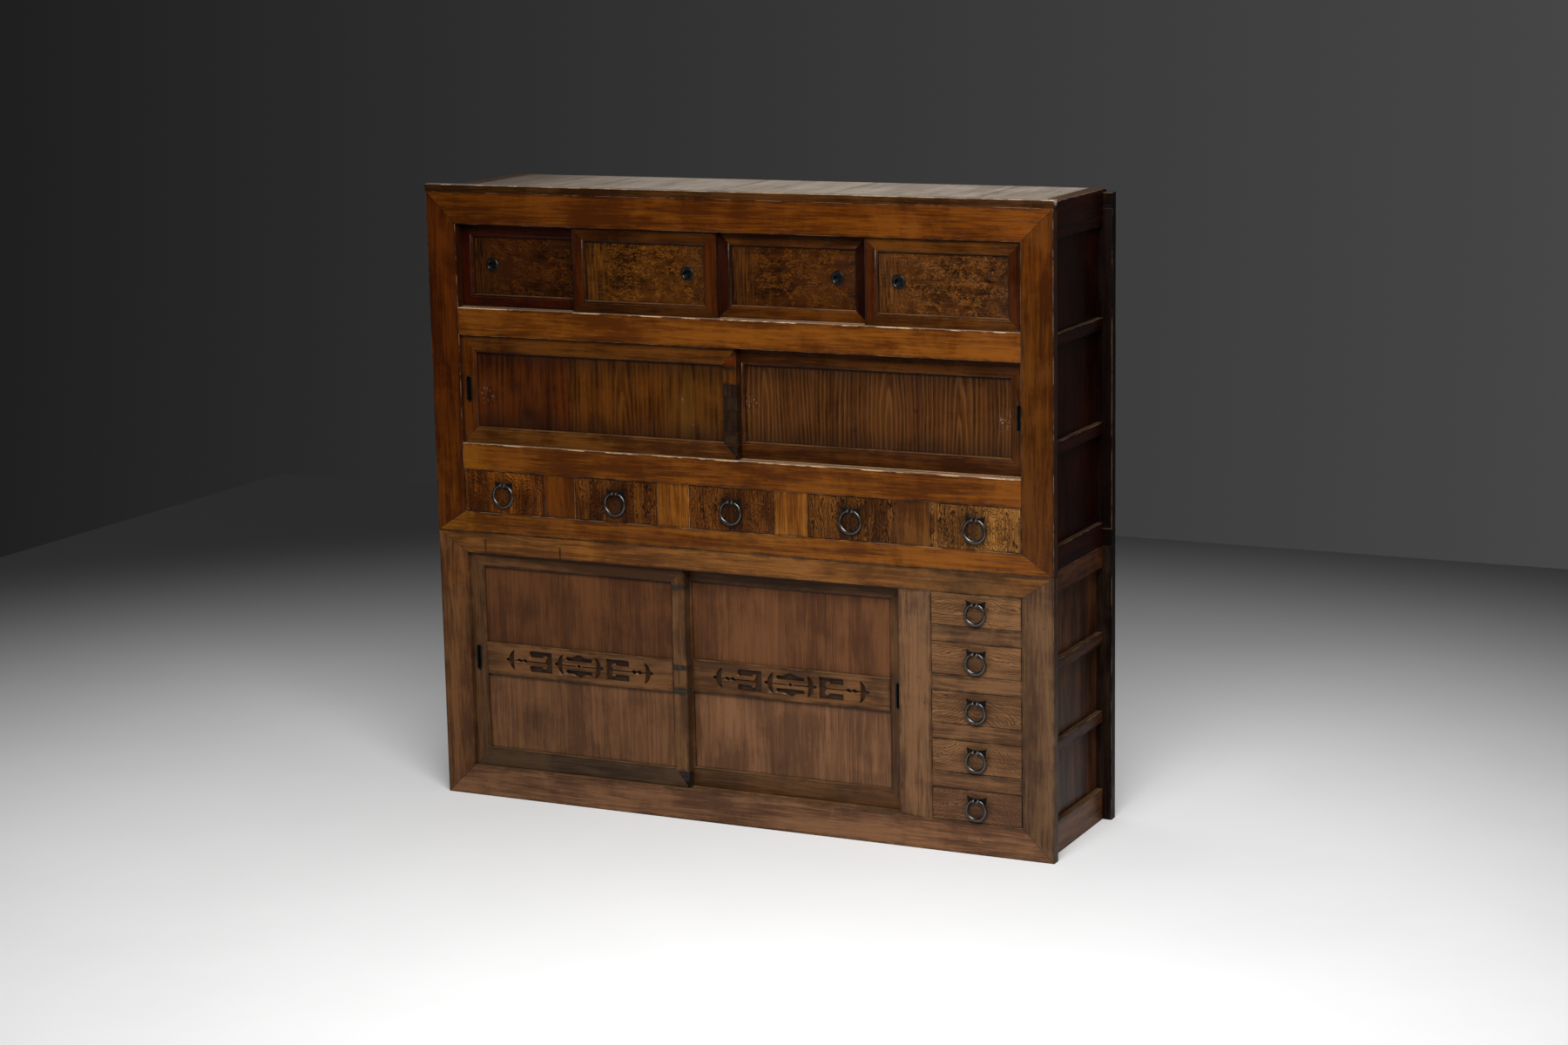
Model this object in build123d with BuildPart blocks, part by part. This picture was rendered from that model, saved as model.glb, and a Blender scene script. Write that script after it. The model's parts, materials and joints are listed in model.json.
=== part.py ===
from build123d import *
from math import atan2, cos, hypot, pi, sin, sqrt
import os

# A mizuya, the kitchen cabinet of a traditional house: a low case and a taller case that stands on it.
# Millimetres. +X is to the right seen from the front, +Y to the back, +Z up.
# The origin is on the floor, under the middle of the whole cabinet, ring pulls included.
# A "depth" is a distance behind the face of the front frames, and is negative in front of it.

# ---- Cases ----
WIDTH = 1755.0            # over the front and rear frames
DEPTH = 440.0             # face of the front frames to the back of the rear frames
LOWER_HEIGHT = 727.0
UPPER_HEIGHT = 903.0      # to the top edge of the front frame, under the nosing
STILE = 85.0              # upright members of the front frames
FRAME_T = 27.0            # thickness of the front and rear frames
SIDE_INSET = 24.5         # the side rails' faces stand this far inside the frames' edges
SIDE_RAIL_T = 46.0
PANEL_INSET = 16.0        # the side panels lie this far inside the rails' faces
PANEL_T = 12.0
PANEL_GROOVE = 6.0        # how far every panel enters the members around it
BACK_POST = SIDE_INSET + SIDE_RAIL_T
BACK_BOARD_T = 10.0
BACK_BOARDS = 6
BOARD_T = 14.0            # floors and shelves

# ---- Rails and rows of the front, from the floor up ----
BASE_RAIL = 83.0
LOWER_HEAD_RAIL = 57.0
UPPER_BASE_RAIL = 55.0
DRAWER_ROW = 113.0
DRAWER_HEAD_RAIL = 71.0
MIDDLE_RAIL = 73.0
SMALL_DOOR_ROW = 220.0
UPPER_HEAD_RAIL = 83.0

# ---- Drawers of the front ----
DRAWERS = 5               # in the row of the upper case, and in the column of the lower one
ROW_DRAWER_WIDTH = 242.0
COLUMN_WIDTH = 243.0
COLUMN_RAIL = 41.0        # between the drawers of the column
COLUMN_POST = 88.5        # between the doors and the column

# ---- Rails of the sides and the back ----
UPPER_SIDE_BASE = 60.0
SIDE_BAR = 30.0           # height of the bars across the side panels
LOWER_SIDE_BARS = (261.5, 470.0)
UPPER_SIDE_BARS = (1017.5, 1284.5)
UPPER_BACK_HEAD = 40.0
UPPER_BACK_BASE = 46.0
LOWER_BACK_RAIL = 60.0

# ---- Top and nosing ----
TOP_RISE = 8.0            # the top boards' surface over the front frame's top edge
TOP_BOARD_T = 18.0
TOP_SEAMS = (-470.0, -88.0, 225.0, 622.0)
NOSING_HEIGHT = 20.0
NOSING_PROUD = 1.5
NOSING_STEP = 6.0
NOSING_ROUND = 4.0

# ---- Sliding doors and their tracks ----
DOOR_SETBACK = 12.0       # faces of the front doors behind the frame's face
DOOR_T = 24.0
DOOR_GAP = 3.0            # between the front and the rear doors
TRACK_LAP = 7.0           # the rear track runs this far behind the stiles
TRACK_REAR = 9.0          # wood behind the rear doors
GROOVE = 9.0
SILL_GROOVE = 5.0
HEAD_GROOVE = 11.0
GROOVE_CLEAR = 0.5
SHOULDER_GAP = 1.0
SEAT_GAP = 0.3            # a sliding piece over what carries it
END_GAP = 0.5             # a door's edge from the stile it meets
BEAD = 7.0                # moulding along the inner edges of a door's frame
BEAD_QUIRK = 1.0
BEAD_FLAT = 4.5
BEAD_DROP = 4.0
DOOR_PANEL_RECESS = 10.0
DOOR_PANEL_T = 7.0
SMALL_DOOR_LAPS = (64.0, 6.0, -3.5)      # of each small door over the next one, as they stand
SMALL_DOOR_STOP = 2.0     # between the last small door and its stile
SMALL_DOOR_FRAME = (35.0, 36.0, 31.0)    # stile, top rail and bottom rail
MIDDLE_DOOR_FRAME = (41.0, 46.0, 43.0)
MIDDLE_DOOR_LAP = 32.0
LOWER_DOOR_FRAME = (42.0, 38.0, 50.0)
LOWER_DOOR_LAP = 38.5

# ---- Fretwork bands of the lower doors ----
BAND_CENTRE = 381.0
BAND_HEIGHT = 86.0
BAND_SETBACK = 1.5
FRET_HALF = 29.0          # half the height of the fretwork
FRET_LINE = 3.0
CRESCENTS = (48.0, 196.0) # from the middle of the band to the horns of each crescent
CRESCENT_BULGE = 19.0
CRESCENT_HOLLOW = 2.5
KNOB = 5.0
BRACKET = (82.0, 151.0)   # from the middle of the band to the bracket's back and its tips
BRACKET_BAR = 20.0
BRACKET_LOBE = 18.0
CURL = 6.0                # wooden curls at the bracket's inner corners
DIAMONDS = (165.0, 181.0)
DIAMOND_LENGTH = 20.0
DIAMOND_HEIGHT = 13.0
CLOUD_LENGTH = 80.0
CLOUD_BAR = 12.0
CLOUD_PEAK = 22.0
CENTRE_HOLE = 4.6

# ---- Drawer boxes ----
DRAWER_CLEAR = 1.0
DRAWER_FRONT_T = 20.0
DRAWER_SIDE_T = 10.0
DRAWER_BACK_T = 9.0
DRAWER_BOTTOM_T = 6.0
DRAWER_BOTTOM_UP = 6.0
DRAWER_BOTTOM_GROOVE = 4.0
DRAWER_SIDE_DROP = 9.0    # the sides end this far under the front's top edge
DRAWER_END_GAP = 35.0     # behind a closed drawer
GUIDE_HEIGHT = 24.0

# ---- Iron ring pulls ----
ROW_RING = 65.0           # outer diameters
COLUMN_RING = 59.0
RING_WIRE = 6.8
RING_SIDES = 8            # the forged bar of a ring has flats
RING_CHORDS = 28          # and is bent in this many short straight lengths
RING_DROP = 7.0           # ring centres under the drawers' middles
RING_MOUTH = 19.0         # opening between the ring's two ends
PIN = 4.4
PIN_CLEAR = 0.25
PIVOT_OUT = 8.0           # ring pivots in front of the face
EYE_RADIUS = 4.2
EYE_T = 3.6
EYE_CORNER = 0.5          # the eyes' front corners are cut off by this part of their radius
EYE_SPACE = 8.4           # between the two eyes
PLATE_T = 1.5
PLATE_WIDTH = 54.0
PLATE_HEIGHT = 20.0
PLATE_DIP = 6.5           # hollow in the plate's upper and lower edges
PLATE_TAPER = 4.0         # the lower corners stand in by this much

# ---- Iron cups let into the doors ----
CUP_DIAMETER = 36.0       # round cups of the small doors
CUP_HOLE = 20.0
CUP_RIM = 2.0
CUP_DEPTH = 11.0
CUP_WALL = 1.5
CUP_CLEAR = 0.3
CUP_FROM_EDGE = 87.0
SLOT_WIDTH = 15.0         # long cups of the large doors
SLOT_HEIGHT = 70.0
SLOT_FLANGE = 1.5
SLOT_RIM = 1.2
SLOT_DEPTH = 10.0
SLOT_FROM_EDGE = 18.0

# ---- Levels and places worked out from the sizes above ----
TOTAL_HEIGHT = LOWER_HEIGHT + UPPER_HEIGHT
TOP_Z = TOTAL_HEIGHT + TOP_RISE
FACE_Y = -(DEPTH - PIVOT_OUT - EYE_RADIUS) / 2
EDGE_X = WIDTH / 2
OPEN_X = EDGE_X - STILE                  # inner edges of the stiles
SIDE_X = EDGE_X - SIDE_INSET             # faces of the side rails
RAIL_X = SIDE_X - SIDE_RAIL_T            # inner faces of the side rails
PANEL_X = SIDE_X - PANEL_INSET
WALL_X = PANEL_X - PANEL_T               # inner faces of the side panels
JAMB_X = OPEN_X + TRACK_LAP              # where the rear doors stop
POST_RIGHT = OPEN_X - COLUMN_WIDTH
POST_LEFT = POST_RIGHT - COLUMN_POST
REAR_DEPTH = DEPTH - FRAME_T             # front of the rear frames
INNER_DEPTH = REAR_DEPTH - BACK_BOARD_T  # front of the back boards
DRAWER_LENGTH = INNER_DEPTH - DRAWER_END_GAP
REAR_SETBACK = DOOR_SETBACK + DOOR_T + DOOR_GAP
TRACK_DEPTH = REAR_SETBACK + DOOR_T + TRACK_REAR
LOWER_OPEN = (BASE_RAIL, LOWER_HEIGHT - LOWER_HEAD_RAIL)
ROW_OPEN = (LOWER_HEIGHT + UPPER_BASE_RAIL, LOWER_HEIGHT + UPPER_BASE_RAIL + DRAWER_ROW)
SMALL_OPEN = (TOTAL_HEIGHT - UPPER_HEAD_RAIL - SMALL_DOOR_ROW, TOTAL_HEIGHT - UPPER_HEAD_RAIL)
MIDDLE_OPEN = (ROW_OPEN[1] + DRAWER_HEAD_RAIL, SMALL_OPEN[0] - MIDDLE_RAIL)
COLUMN_DRAWER = (LOWER_OPEN[1] - LOWER_OPEN[0] - (DRAWERS - 1) * COLUMN_RAIL) / DRAWERS
ROW_DIVIDER = (2 * OPEN_X - DRAWERS * ROW_DRAWER_WIDTH) / (DRAWERS - 1)
SMALL_DOORS = len(SMALL_DOOR_LAPS) + 1
SMALL_DOORS_SPAN = JAMB_X - END_GAP + OPEN_X - SMALL_DOOR_STOP
SMALL_DOOR_WIDTH = (SMALL_DOORS_SPAN + sum(SMALL_DOOR_LAPS)) / SMALL_DOORS

os.makedirs("parts", exist_ok=True)


# ======== Shared operations ========
def facing(depth, x=0.0, z=0.0):
    """The upright plane that looks to the front, at a depth behind the frames' face."""
    return Plane(origin=(x, FACE_Y + depth, z), x_dir=(1, 0, 0), z_dir=(0, -1, 0))


def on_side(side, inner, outer):
    """The x range between two distances from the middle, on the left (-1) or the right (1)."""
    return tuple(sorted((side * inner, side * outer)))


def board(x, depth, z):
    """A straight board between two x, two depths and two heights."""
    with BuildPart() as piece:
        with BuildSketch(facing(depth[0])):
            with Locations(((x[0] + x[1]) / 2, (z[0] + z[1]) / 2)):
                Rectangle(x[1] - x[0], z[1] - z[0])
        extrude(amount=depth[0] - depth[1])
    return piece.part


def mitred_board(corners, depth):
    """A board whose face has these (x, z) corners."""
    with BuildPart() as piece:
        with BuildSketch(facing(depth[0])):
            Polygon(*corners, align=None)
        extrude(amount=depth[0] - depth[1])
    return piece.part


def save(label, pieces):
    """Write one sub-part: a single solid, or the separate solids that make it up."""
    part = pieces[0] if len(pieces) == 1 else Compound(children=pieces)
    part.label = label
    export_step(part, f"parts/{label}.step")


def row_bay(number):
    """Left and right edge of a drawer's bay in the row, counted from the left."""
    left = -OPEN_X + number * (ROW_DRAWER_WIDTH + ROW_DIVIDER)
    return (left, left + ROW_DRAWER_WIDTH)


def column_bay(number):
    """Lower and upper edge of a drawer's bay in the column, counted from the top."""
    low = LOWER_OPEN[0] + (DRAWERS - 1 - number) * (COLUMN_DRAWER + COLUMN_RAIL)
    return (low, low + COLUMN_DRAWER)


# ======== Front frames ========
def rail_corners(z, lower_end, upper_end):
    """Face corners of a rail whose lower and upper edges reach these distances from the middle."""
    return [(-lower_end, z[0]), (lower_end, z[0]), (upper_end, z[1]), (-upper_end, z[1])]


def track_rail(corners, deep_z, right_end, sill=None, head=None):
    """A frame rail with the sliding doors' grooves in its upper edge (sill) or lower edge (head).

    Behind the stiles the rail runs on from jamb to jamb between the heights deep_z.
    """
    tracks = ((-OPEN_X, DOOR_SETBACK), (-JAMB_X, REAR_SETBACK))
    with BuildPart() as rail:
        with BuildSketch(facing(0)):
            Polygon(*corners, align=None)
        extrude(amount=-FRAME_T)
        with BuildSketch(facing(FRAME_T)):
            with Locations((0, (deep_z[0] + deep_z[1]) / 2)):
                Rectangle(2 * JAMB_X, deep_z[1] - deep_z[0])
        extrude(amount=FRAME_T - TRACK_DEPTH)
        for height, groove in ((sill, -SILL_GROOVE), (head, HEAD_GROOVE)):
            if height is None:
                continue
            with BuildSketch(Plane.XY.offset(height)):
                for left, setback in tracks:
                    right = right_end if right_end < OPEN_X else -left
                    with Locations(((left + right) / 2, FACE_Y + setback + DOOR_T / 2)):
                        Rectangle(right - left, GROOVE)
            extrude(amount=groove, mode=Mode.SUBTRACT)
    return rail.part


def frame_stiles(outer_z, inner_z):
    """The two upright members, mitred at both ends from the outer heights to the inner ones."""
    return [
        mitred_board([(side * OPEN_X, inner_z[0]), (side * EDGE_X, outer_z[0]),
                      (side * EDGE_X, outer_z[1]), (side * OPEN_X, inner_z[1])], (0, FRAME_T))
        for side in (-1, 1)
    ]


def lower_front_frame():
    base, head = (0, LOWER_OPEN[0]), (LOWER_OPEN[1], LOWER_HEIGHT)
    pieces = frame_stiles((0, LOWER_HEIGHT), LOWER_OPEN)
    pieces += [
        track_rail(rail_corners(base, EDGE_X, OPEN_X), base, POST_LEFT, sill=base[1]),
        track_rail(rail_corners(head, OPEN_X, EDGE_X), (head[0], head[1] - BOARD_T), POST_LEFT,
                   head=head[0]),
        board((POST_LEFT, POST_RIGHT), (0, TRACK_DEPTH), LOWER_OPEN),
    ]
    for number in range(DRAWERS - 1):
        low = column_bay(number)[0]
        pieces.append(board((POST_RIGHT, OPEN_X), (0, FRAME_T), (low - COLUMN_RAIL, low)))
    save("lower_front_frame", pieces)


def upper_front_frame():
    base, head = (LOWER_HEIGHT, ROW_OPEN[0]), (SMALL_OPEN[1], TOTAL_HEIGHT)
    drawer_head, middle = (ROW_OPEN[1], MIDDLE_OPEN[0]), (MIDDLE_OPEN[1], SMALL_OPEN[0])
    pieces = frame_stiles((LOWER_HEIGHT, TOTAL_HEIGHT), (base[1], head[0]))
    pieces += [
        mitred_board(rail_corners(base, EDGE_X, OPEN_X), (0, FRAME_T)),
        track_rail(rail_corners(drawer_head, OPEN_X, OPEN_X), drawer_head, OPEN_X, sill=drawer_head[1]),
        track_rail(rail_corners(middle, OPEN_X, OPEN_X), middle, OPEN_X, sill=middle[1], head=middle[0]),
        track_rail(rail_corners(head, OPEN_X, EDGE_X), (head[0], TOP_Z - TOP_BOARD_T), OPEN_X, head=head[0]),
    ]
    for number in range(1, DRAWERS):
        left = row_bay(number)[0]
        pieces.append(board((left - ROW_DIVIDER, left), (0, FRAME_T), ROW_OPEN))
    save("upper_front_frame", pieces)


# ======== Sides, back and top ========
def side_rail(side, z, groove_z, cap_z=None):
    """A rail that runs front to back, with a groove for the side panel's edge at groove_z.

    The head rail of the upper case also laps over the rear frame, between the heights cap_z.
    """
    rail, groove = on_side(side, RAIL_X, SIDE_X), on_side(side, WALL_X, PANEL_X)
    with BuildPart() as piece:
        with BuildSketch(facing(FRAME_T)):
            with Locations(((rail[0] + rail[1]) / 2, (z[0] + z[1]) / 2)):
                Rectangle(SIDE_RAIL_T, z[1] - z[0])
            with Locations(((groove[0] + groove[1]) / 2, groove_z)):
                Rectangle(PANEL_T, 2 * PANEL_GROOVE, mode=Mode.SUBTRACT)
        extrude(amount=FRAME_T - REAR_DEPTH)
        if cap_z:
            with BuildSketch(facing(REAR_DEPTH)):
                with Locations(((rail[0] + rail[1]) / 2, (cap_z[0] + cap_z[1]) / 2)):
                    Rectangle(SIDE_RAIL_T, cap_z[1] - cap_z[0])
            extrude(amount=-FRAME_T)
    return piece.part


def side_frames(case, z, base, head, bars, cap_z=None):
    """Rails, bars and door jamb of each side of a case that stands between the heights z."""
    depth = (FRAME_T, REAR_DEPTH)
    for side, name in ((-1, "left"), (1, "right")):
        pieces = [
            side_rail(side, (z[0], base), base),
            side_rail(side, (head, z[1]), head, cap_z),
            board(on_side(side, JAMB_X, WALL_X), (FRAME_T, TRACK_DEPTH), (base, head)),
        ]
        pieces += [board(on_side(side, PANEL_X, SIDE_X), depth, (low, low + SIDE_BAR)) for low in bars]
        save(f"{case}_{name}_side_frame", pieces)


def side_panels(case, base, head):
    z = (base - PANEL_GROOVE, head + PANEL_GROOVE)
    depth = (FRAME_T, REAR_DEPTH)
    save(f"{case}_side_panels", [board(on_side(side, WALL_X, PANEL_X), depth, z) for side in (-1, 1)])


def back(case, z, boards_top, base, head, rails_pass_posts):
    """The rear frame of a case, with the upright boards nailed to its front."""
    depth = (REAR_DEPTH, DEPTH)
    between = (z[0] + base, z[1] - head)
    rail_end = EDGE_X if rails_pass_posts else EDGE_X - BACK_POST
    pieces = [board(on_side(side, EDGE_X - BACK_POST, EDGE_X), depth, between if rails_pass_posts else z)
              for side in (-1, 1)]
    for rail_z in ((z[0], between[0]), (between[1], z[1])):
        pieces.append(board((-rail_end, rail_end), depth, rail_z))
    pieces.append(board((-BACK_POST / 2, BACK_POST / 2), depth, between))
    width = 2 * RAIL_X / BACK_BOARDS
    for number in range(BACK_BOARDS):
        left = -RAIL_X + number * width
        pieces.append(board((left, left + width), (INNER_DEPTH, REAR_DEPTH), (z[0], boards_top)))
    save(f"{case}_back", pieces)


def top_boards():
    """Boards laid front to back between the side rails, rebated over the rear frame."""
    edges = (-RAIL_X, *TOP_SEAMS, RAIL_X)
    pieces = []
    for left, right in zip(edges, edges[1:]):
        with BuildPart() as plank:
            with BuildSketch(Plane.YZ.offset(left)):
                Polygon((FACE_Y + FRAME_T, TOP_Z - TOP_BOARD_T), (FACE_Y + REAR_DEPTH, TOP_Z - TOP_BOARD_T),
                        (FACE_Y + REAR_DEPTH, TOTAL_HEIGHT), (FACE_Y + DEPTH, TOTAL_HEIGHT),
                        (FACE_Y + DEPTH, TOP_Z), (FACE_Y + FRAME_T, TOP_Z), align=None)
            extrude(amount=right - left)
        pieces.append(plank.part)
    save("top_boards", pieces)


def top_nosing():
    """The lip along the front edge of the top, with its upper edge rounded over."""
    front, back_edge = FACE_Y - NOSING_PROUD, FACE_Y + FRAME_T
    step, top = TOTAL_HEIGHT + NOSING_STEP, TOTAL_HEIGHT + NOSING_HEIGHT
    with BuildPart() as lip:
        with BuildSketch(Plane.YZ.offset(-EDGE_X - NOSING_PROUD)) as section:
            Polygon((FACE_Y, TOTAL_HEIGHT), (back_edge, TOTAL_HEIGHT), (back_edge, top), (front, top),
                    (front, step), (FACE_Y, step), align=None)
            fillet(section.vertices().group_by(Axis.Y)[-1], NOSING_ROUND)
        extrude(amount=2 * (EDGE_X + NOSING_PROUD))
    save("top_nosing", [lip.part])


# ======== Floors, shelves, partition and drawer guides ========
def notched_board(x, front_x, depth, z):
    """A board between two x, narrowed to front_x as far back as the door jambs reach."""
    with BuildPart() as piece:
        with BuildSketch(Plane.XY.offset(z[0])):
            for (left, right), near, far in ((front_x, depth[0], TRACK_DEPTH), (x, TRACK_DEPTH, depth[1])):
                with Locations(((left + right) / 2, FACE_Y + (near + far) / 2)):
                    Rectangle(right - left, far - near)
        extrude(amount=z[1] - z[0])
    return piece.part


def lower_inside():
    deep = (TRACK_DEPTH, INNER_DEPTH)
    partition = (POST_RIGHT - BOARD_T, POST_RIGHT)
    floor_z, cover_z = (BASE_RAIL - BOARD_T, BASE_RAIL), (LOWER_HEIGHT - BOARD_T, LOWER_HEIGHT)
    pieces = [
        board((-RAIL_X, partition[0]), deep, floor_z),
        board(partition, deep, (floor_z[0], cover_z[0])),
        board((POST_RIGHT, RAIL_X), deep, floor_z),
        board((-RAIL_X, RAIL_X), (FRAME_T, INNER_DEPTH), cover_z),
    ]
    for number in range(DRAWERS):
        low = column_bay(number)[0]
        if low > BASE_RAIL:
            pieces.append(notched_board((POST_RIGHT, WALL_X), (POST_RIGHT, JAMB_X), (FRAME_T, INNER_DEPTH),
                                        (low - BOARD_T, low)))
        guide_front = FRAME_T if low > BASE_RAIL else TRACK_DEPTH
        pieces.append(board((OPEN_X, JAMB_X), (guide_front, INNER_DEPTH), (low, low + GUIDE_HEIGHT)))
    save("lower_inside", pieces)


def upper_inside():
    dust_z = (ROW_OPEN[0] - BOARD_T, ROW_OPEN[0])
    guide_z = (ROW_OPEN[0], ROW_OPEN[0] + GUIDE_HEIGHT)
    deep = (FRAME_T, INNER_DEPTH)
    pieces = [board((-WALL_X, WALL_X), (TRACK_DEPTH, INNER_DEPTH), (level - BOARD_T, level))
              for level in (MIDDLE_OPEN[0], SMALL_OPEN[0])]
    pieces.append(board((-RAIL_X, RAIL_X), deep, dust_z))
    for number in range(1, DRAWERS):
        left = row_bay(number)[0]
        pieces.append(board((left - ROW_DIVIDER, left), deep, guide_z))
    pieces += [board(on_side(side, OPEN_X, JAMB_X), deep, guide_z) for side in (-1, 1)]
    save("upper_inside", pieces)


# ======== Sliding doors ========
def member_section(outer, inner, tongue=0.0):
    """Section of a door frame's member as (place across it, depth behind its face) points.

    It has the bead on its front inner edge, the panel's groove, and a tongue on its outer edge
    where the member runs in a track.
    """
    inward = 1 if inner > outer else -1
    quirk, flat = inner - inward * BEAD, inner - inward * (BEAD - BEAD_FLAT)
    bed = inner - inward * PANEL_GROOVE
    groove = (DOOR_PANEL_RECESS, DOOR_PANEL_RECESS + DOOR_PANEL_T)
    points = [(outer, 0), (quirk, 0), (quirk, BEAD_QUIRK), (flat, BEAD_QUIRK), (inner, BEAD_DROP),
              (inner, groove[0]), (bed, groove[0]), (bed, groove[1]), (inner, groove[1]),
              (inner, DOOR_T), (outer, DOOR_T)]
    if tongue:
        near, far = (DOOR_T - GROOVE) / 2 + GROOVE_CLEAR, (DOOR_T + GROOVE) / 2 - GROOVE_CLEAR
        tip = outer - inward * tongue
        points += [(outer, far), (tip, far), (tip, near), (outer, near)]
    return points


def door_member(start, length, section, corners, setback, pocket=None):
    """A moulded bar that is cut to its mitred outline, and bored for an iron cup where it has one."""
    with BuildPart() as member:
        with BuildSketch(start):
            Polygon(*section, align=None)
        extrude(amount=length)
        with BuildSketch(facing(setback)):
            Polygon(*corners, align=None)
        extrude(amount=-DOOR_T, mode=Mode.INTERSECT)
        if pocket:
            with BuildSketch(facing(setback, *pocket)):
                SlotOverall(SLOT_HEIGHT - 2 * SLOT_FLANGE + 2 * CUP_CLEAR,
                            SLOT_WIDTH - 2 * SLOT_FLANGE + 2 * CUP_CLEAR, rotation=90)
            extrude(amount=-SLOT_DEPTH - CUP_CLEAR, mode=Mode.SUBTRACT)
    return member.part


def door_panel(inner_x, inner_z, setback, hole=None):
    """The panel of a door, held in the grooves around it, with a round hole for a cup."""
    enter = PANEL_GROOVE - GROOVE_CLEAR
    with BuildPart() as panel:
        with BuildSketch(facing(setback + DOOR_PANEL_RECESS)):
            with Locations(((inner_x[0] + inner_x[1]) / 2, (inner_z[0] + inner_z[1]) / 2)):
                Rectangle(inner_x[1] - inner_x[0] + 2 * enter, inner_z[1] - inner_z[0] + 2 * enter)
            if hole:
                with Locations(hole):
                    Circle(CUP_HOLE / 2 + CUP_WALL + CUP_CLEAR, mode=Mode.SUBTRACT)
        extrude(amount=-DOOR_PANEL_T)
    return panel.part


def sliding_door(x, opening, frame, setback, hole=None, pocket=None):
    """Frame and panel of a door between two x, which fills an opening's height and rides in its tracks."""
    stile, top_rail, bottom_rail = frame
    low, high = opening[0] + SHOULDER_GAP, opening[1] - SHOULDER_GAP
    foot = SHOULDER_GAP + SILL_GROOVE - SEAT_GAP
    head = SHOULDER_GAP + HEAD_GROOVE - SILL_GROOVE
    inner_x, inner_z = (x[0] + stile, x[1] - stile), (low + bottom_rail, high - top_rail)
    upright = Plane(origin=(0, FACE_Y + setback, low), x_dir=(1, 0, 0), z_dir=(0, 0, 1))
    level = Plane(origin=(x[0], FACE_Y + setback, 0), x_dir=(0, 0, 1), z_dir=(1, 0, 0))
    pieces = []
    for outer, inner in zip(x, inner_x):
        corners = [(outer, low), (inner, inner_z[0]), (inner, inner_z[1]), (outer, high)]
        near_cup = pocket and abs(pocket[0] - outer) < stile
        pieces.append(door_member(upright, high - low, member_section(outer, inner), corners, setback,
                                  pocket if near_cup else None))
    for outer, inner, tongue in ((low, inner_z[0], foot), (high, inner_z[1], head)):
        tip = outer - tongue if inner > outer else outer + tongue
        section = [(place, -depth) for place, depth in member_section(outer, inner, tongue)]
        corners = [(x[0], tip), (x[0], outer), (inner_x[0], inner),
                   (inner_x[1], inner), (x[1], outer), (x[1], tip)]
        pieces.append(door_member(level, x[1] - x[0], section, corners, setback))
    pieces.append(door_panel(inner_x, inner_z, setback, hole))
    return pieces


def fretwork_band(x, setback):
    """The pierced band across a lower door: crescents, brackets, spindles and a cloud about its middle."""
    middle = facing(setback + BAND_SETBACK, (x[0] + x[1]) / 2, BAND_CENTRE)
    lobe_z, bar_end = FRET_HALF - BRACKET_LOBE / 2, BRACKET[0] + BRACKET_BAR
    with BuildPart() as band:
        with BuildSketch(middle):
            Rectangle(x[1] - x[0], BAND_HEIGHT)
        extrude(amount=BAND_SETBACK - DOOR_PANEL_RECESS)
        with BuildSketch(middle):
            for horn in CRESCENTS:
                with BuildLine():
                    ThreePointArc((horn, FRET_HALF), (horn + CRESCENT_BULGE, 0), (horn, -FRET_HALF))
                    ThreePointArc((horn, -FRET_HALF), (horn + CRESCENT_HOLLOW, 0), (horn, FRET_HALF))
                make_face()
                with Locations((horn + CRESCENT_BULGE + KNOB / 2, 0)):
                    Circle(KNOB)
            with Locations((BRACKET[0] + BRACKET_BAR / 2, 0)):
                Rectangle(BRACKET_BAR, 2 * FRET_HALF)
            for flip in (-1, 1):
                with Locations(((BRACKET[0] + BRACKET[1]) / 2, flip * lobe_z)):
                    RectangleRounded(BRACKET[1] - BRACKET[0], BRACKET_LOBE, BRACKET_LOBE / 3)
                with Locations((bar_end + CURL / 2, flip * (FRET_HALF - BRACKET_LOBE))):
                    Circle(CURL, mode=Mode.SUBTRACT)
            for diamond in DIAMONDS:
                Polygon((diamond - DIAMOND_LENGTH / 2, 0), (diamond, DIAMOND_HEIGHT / 2),
                        (diamond + DIAMOND_LENGTH / 2, 0), (diamond, -DIAMOND_HEIGHT / 2), align=None)
            for start, end in ((2 * CENTRE_HOLE, CRESCENTS[0]), (bar_end - CURL, CRESCENTS[1])):
                reach = end + CRESCENT_HOLLOW - start
                with Locations((start + reach / 2, 0)):
                    Rectangle(reach, FRET_LINE)
            mirror(about=Plane.YZ)
            Circle(CENTRE_HOLE)
            for flip in (-1, 1):
                foot, peak = flip * (FRET_HALF - CLOUD_BAR), flip * (FRET_HALF + FRET_LINE)
                with Locations((0, foot)):
                    SlotOverall(CLOUD_LENGTH, CLOUD_BAR)
                with BuildLine():
                    Line((-CLOUD_PEAK, foot), (CLOUD_PEAK, foot))
                    ThreePointArc((CLOUD_PEAK, foot), (CLOUD_PEAK / 2, (foot + 2 * peak) / 3), (0, peak))
                    ThreePointArc((0, peak), (-CLOUD_PEAK / 2, (foot + 2 * peak) / 3), (-CLOUD_PEAK, foot))
                make_face()
        extrude(amount=BAND_SETBACK - DOOR_PANEL_RECESS, mode=Mode.SUBTRACT)
    return band.part


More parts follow.
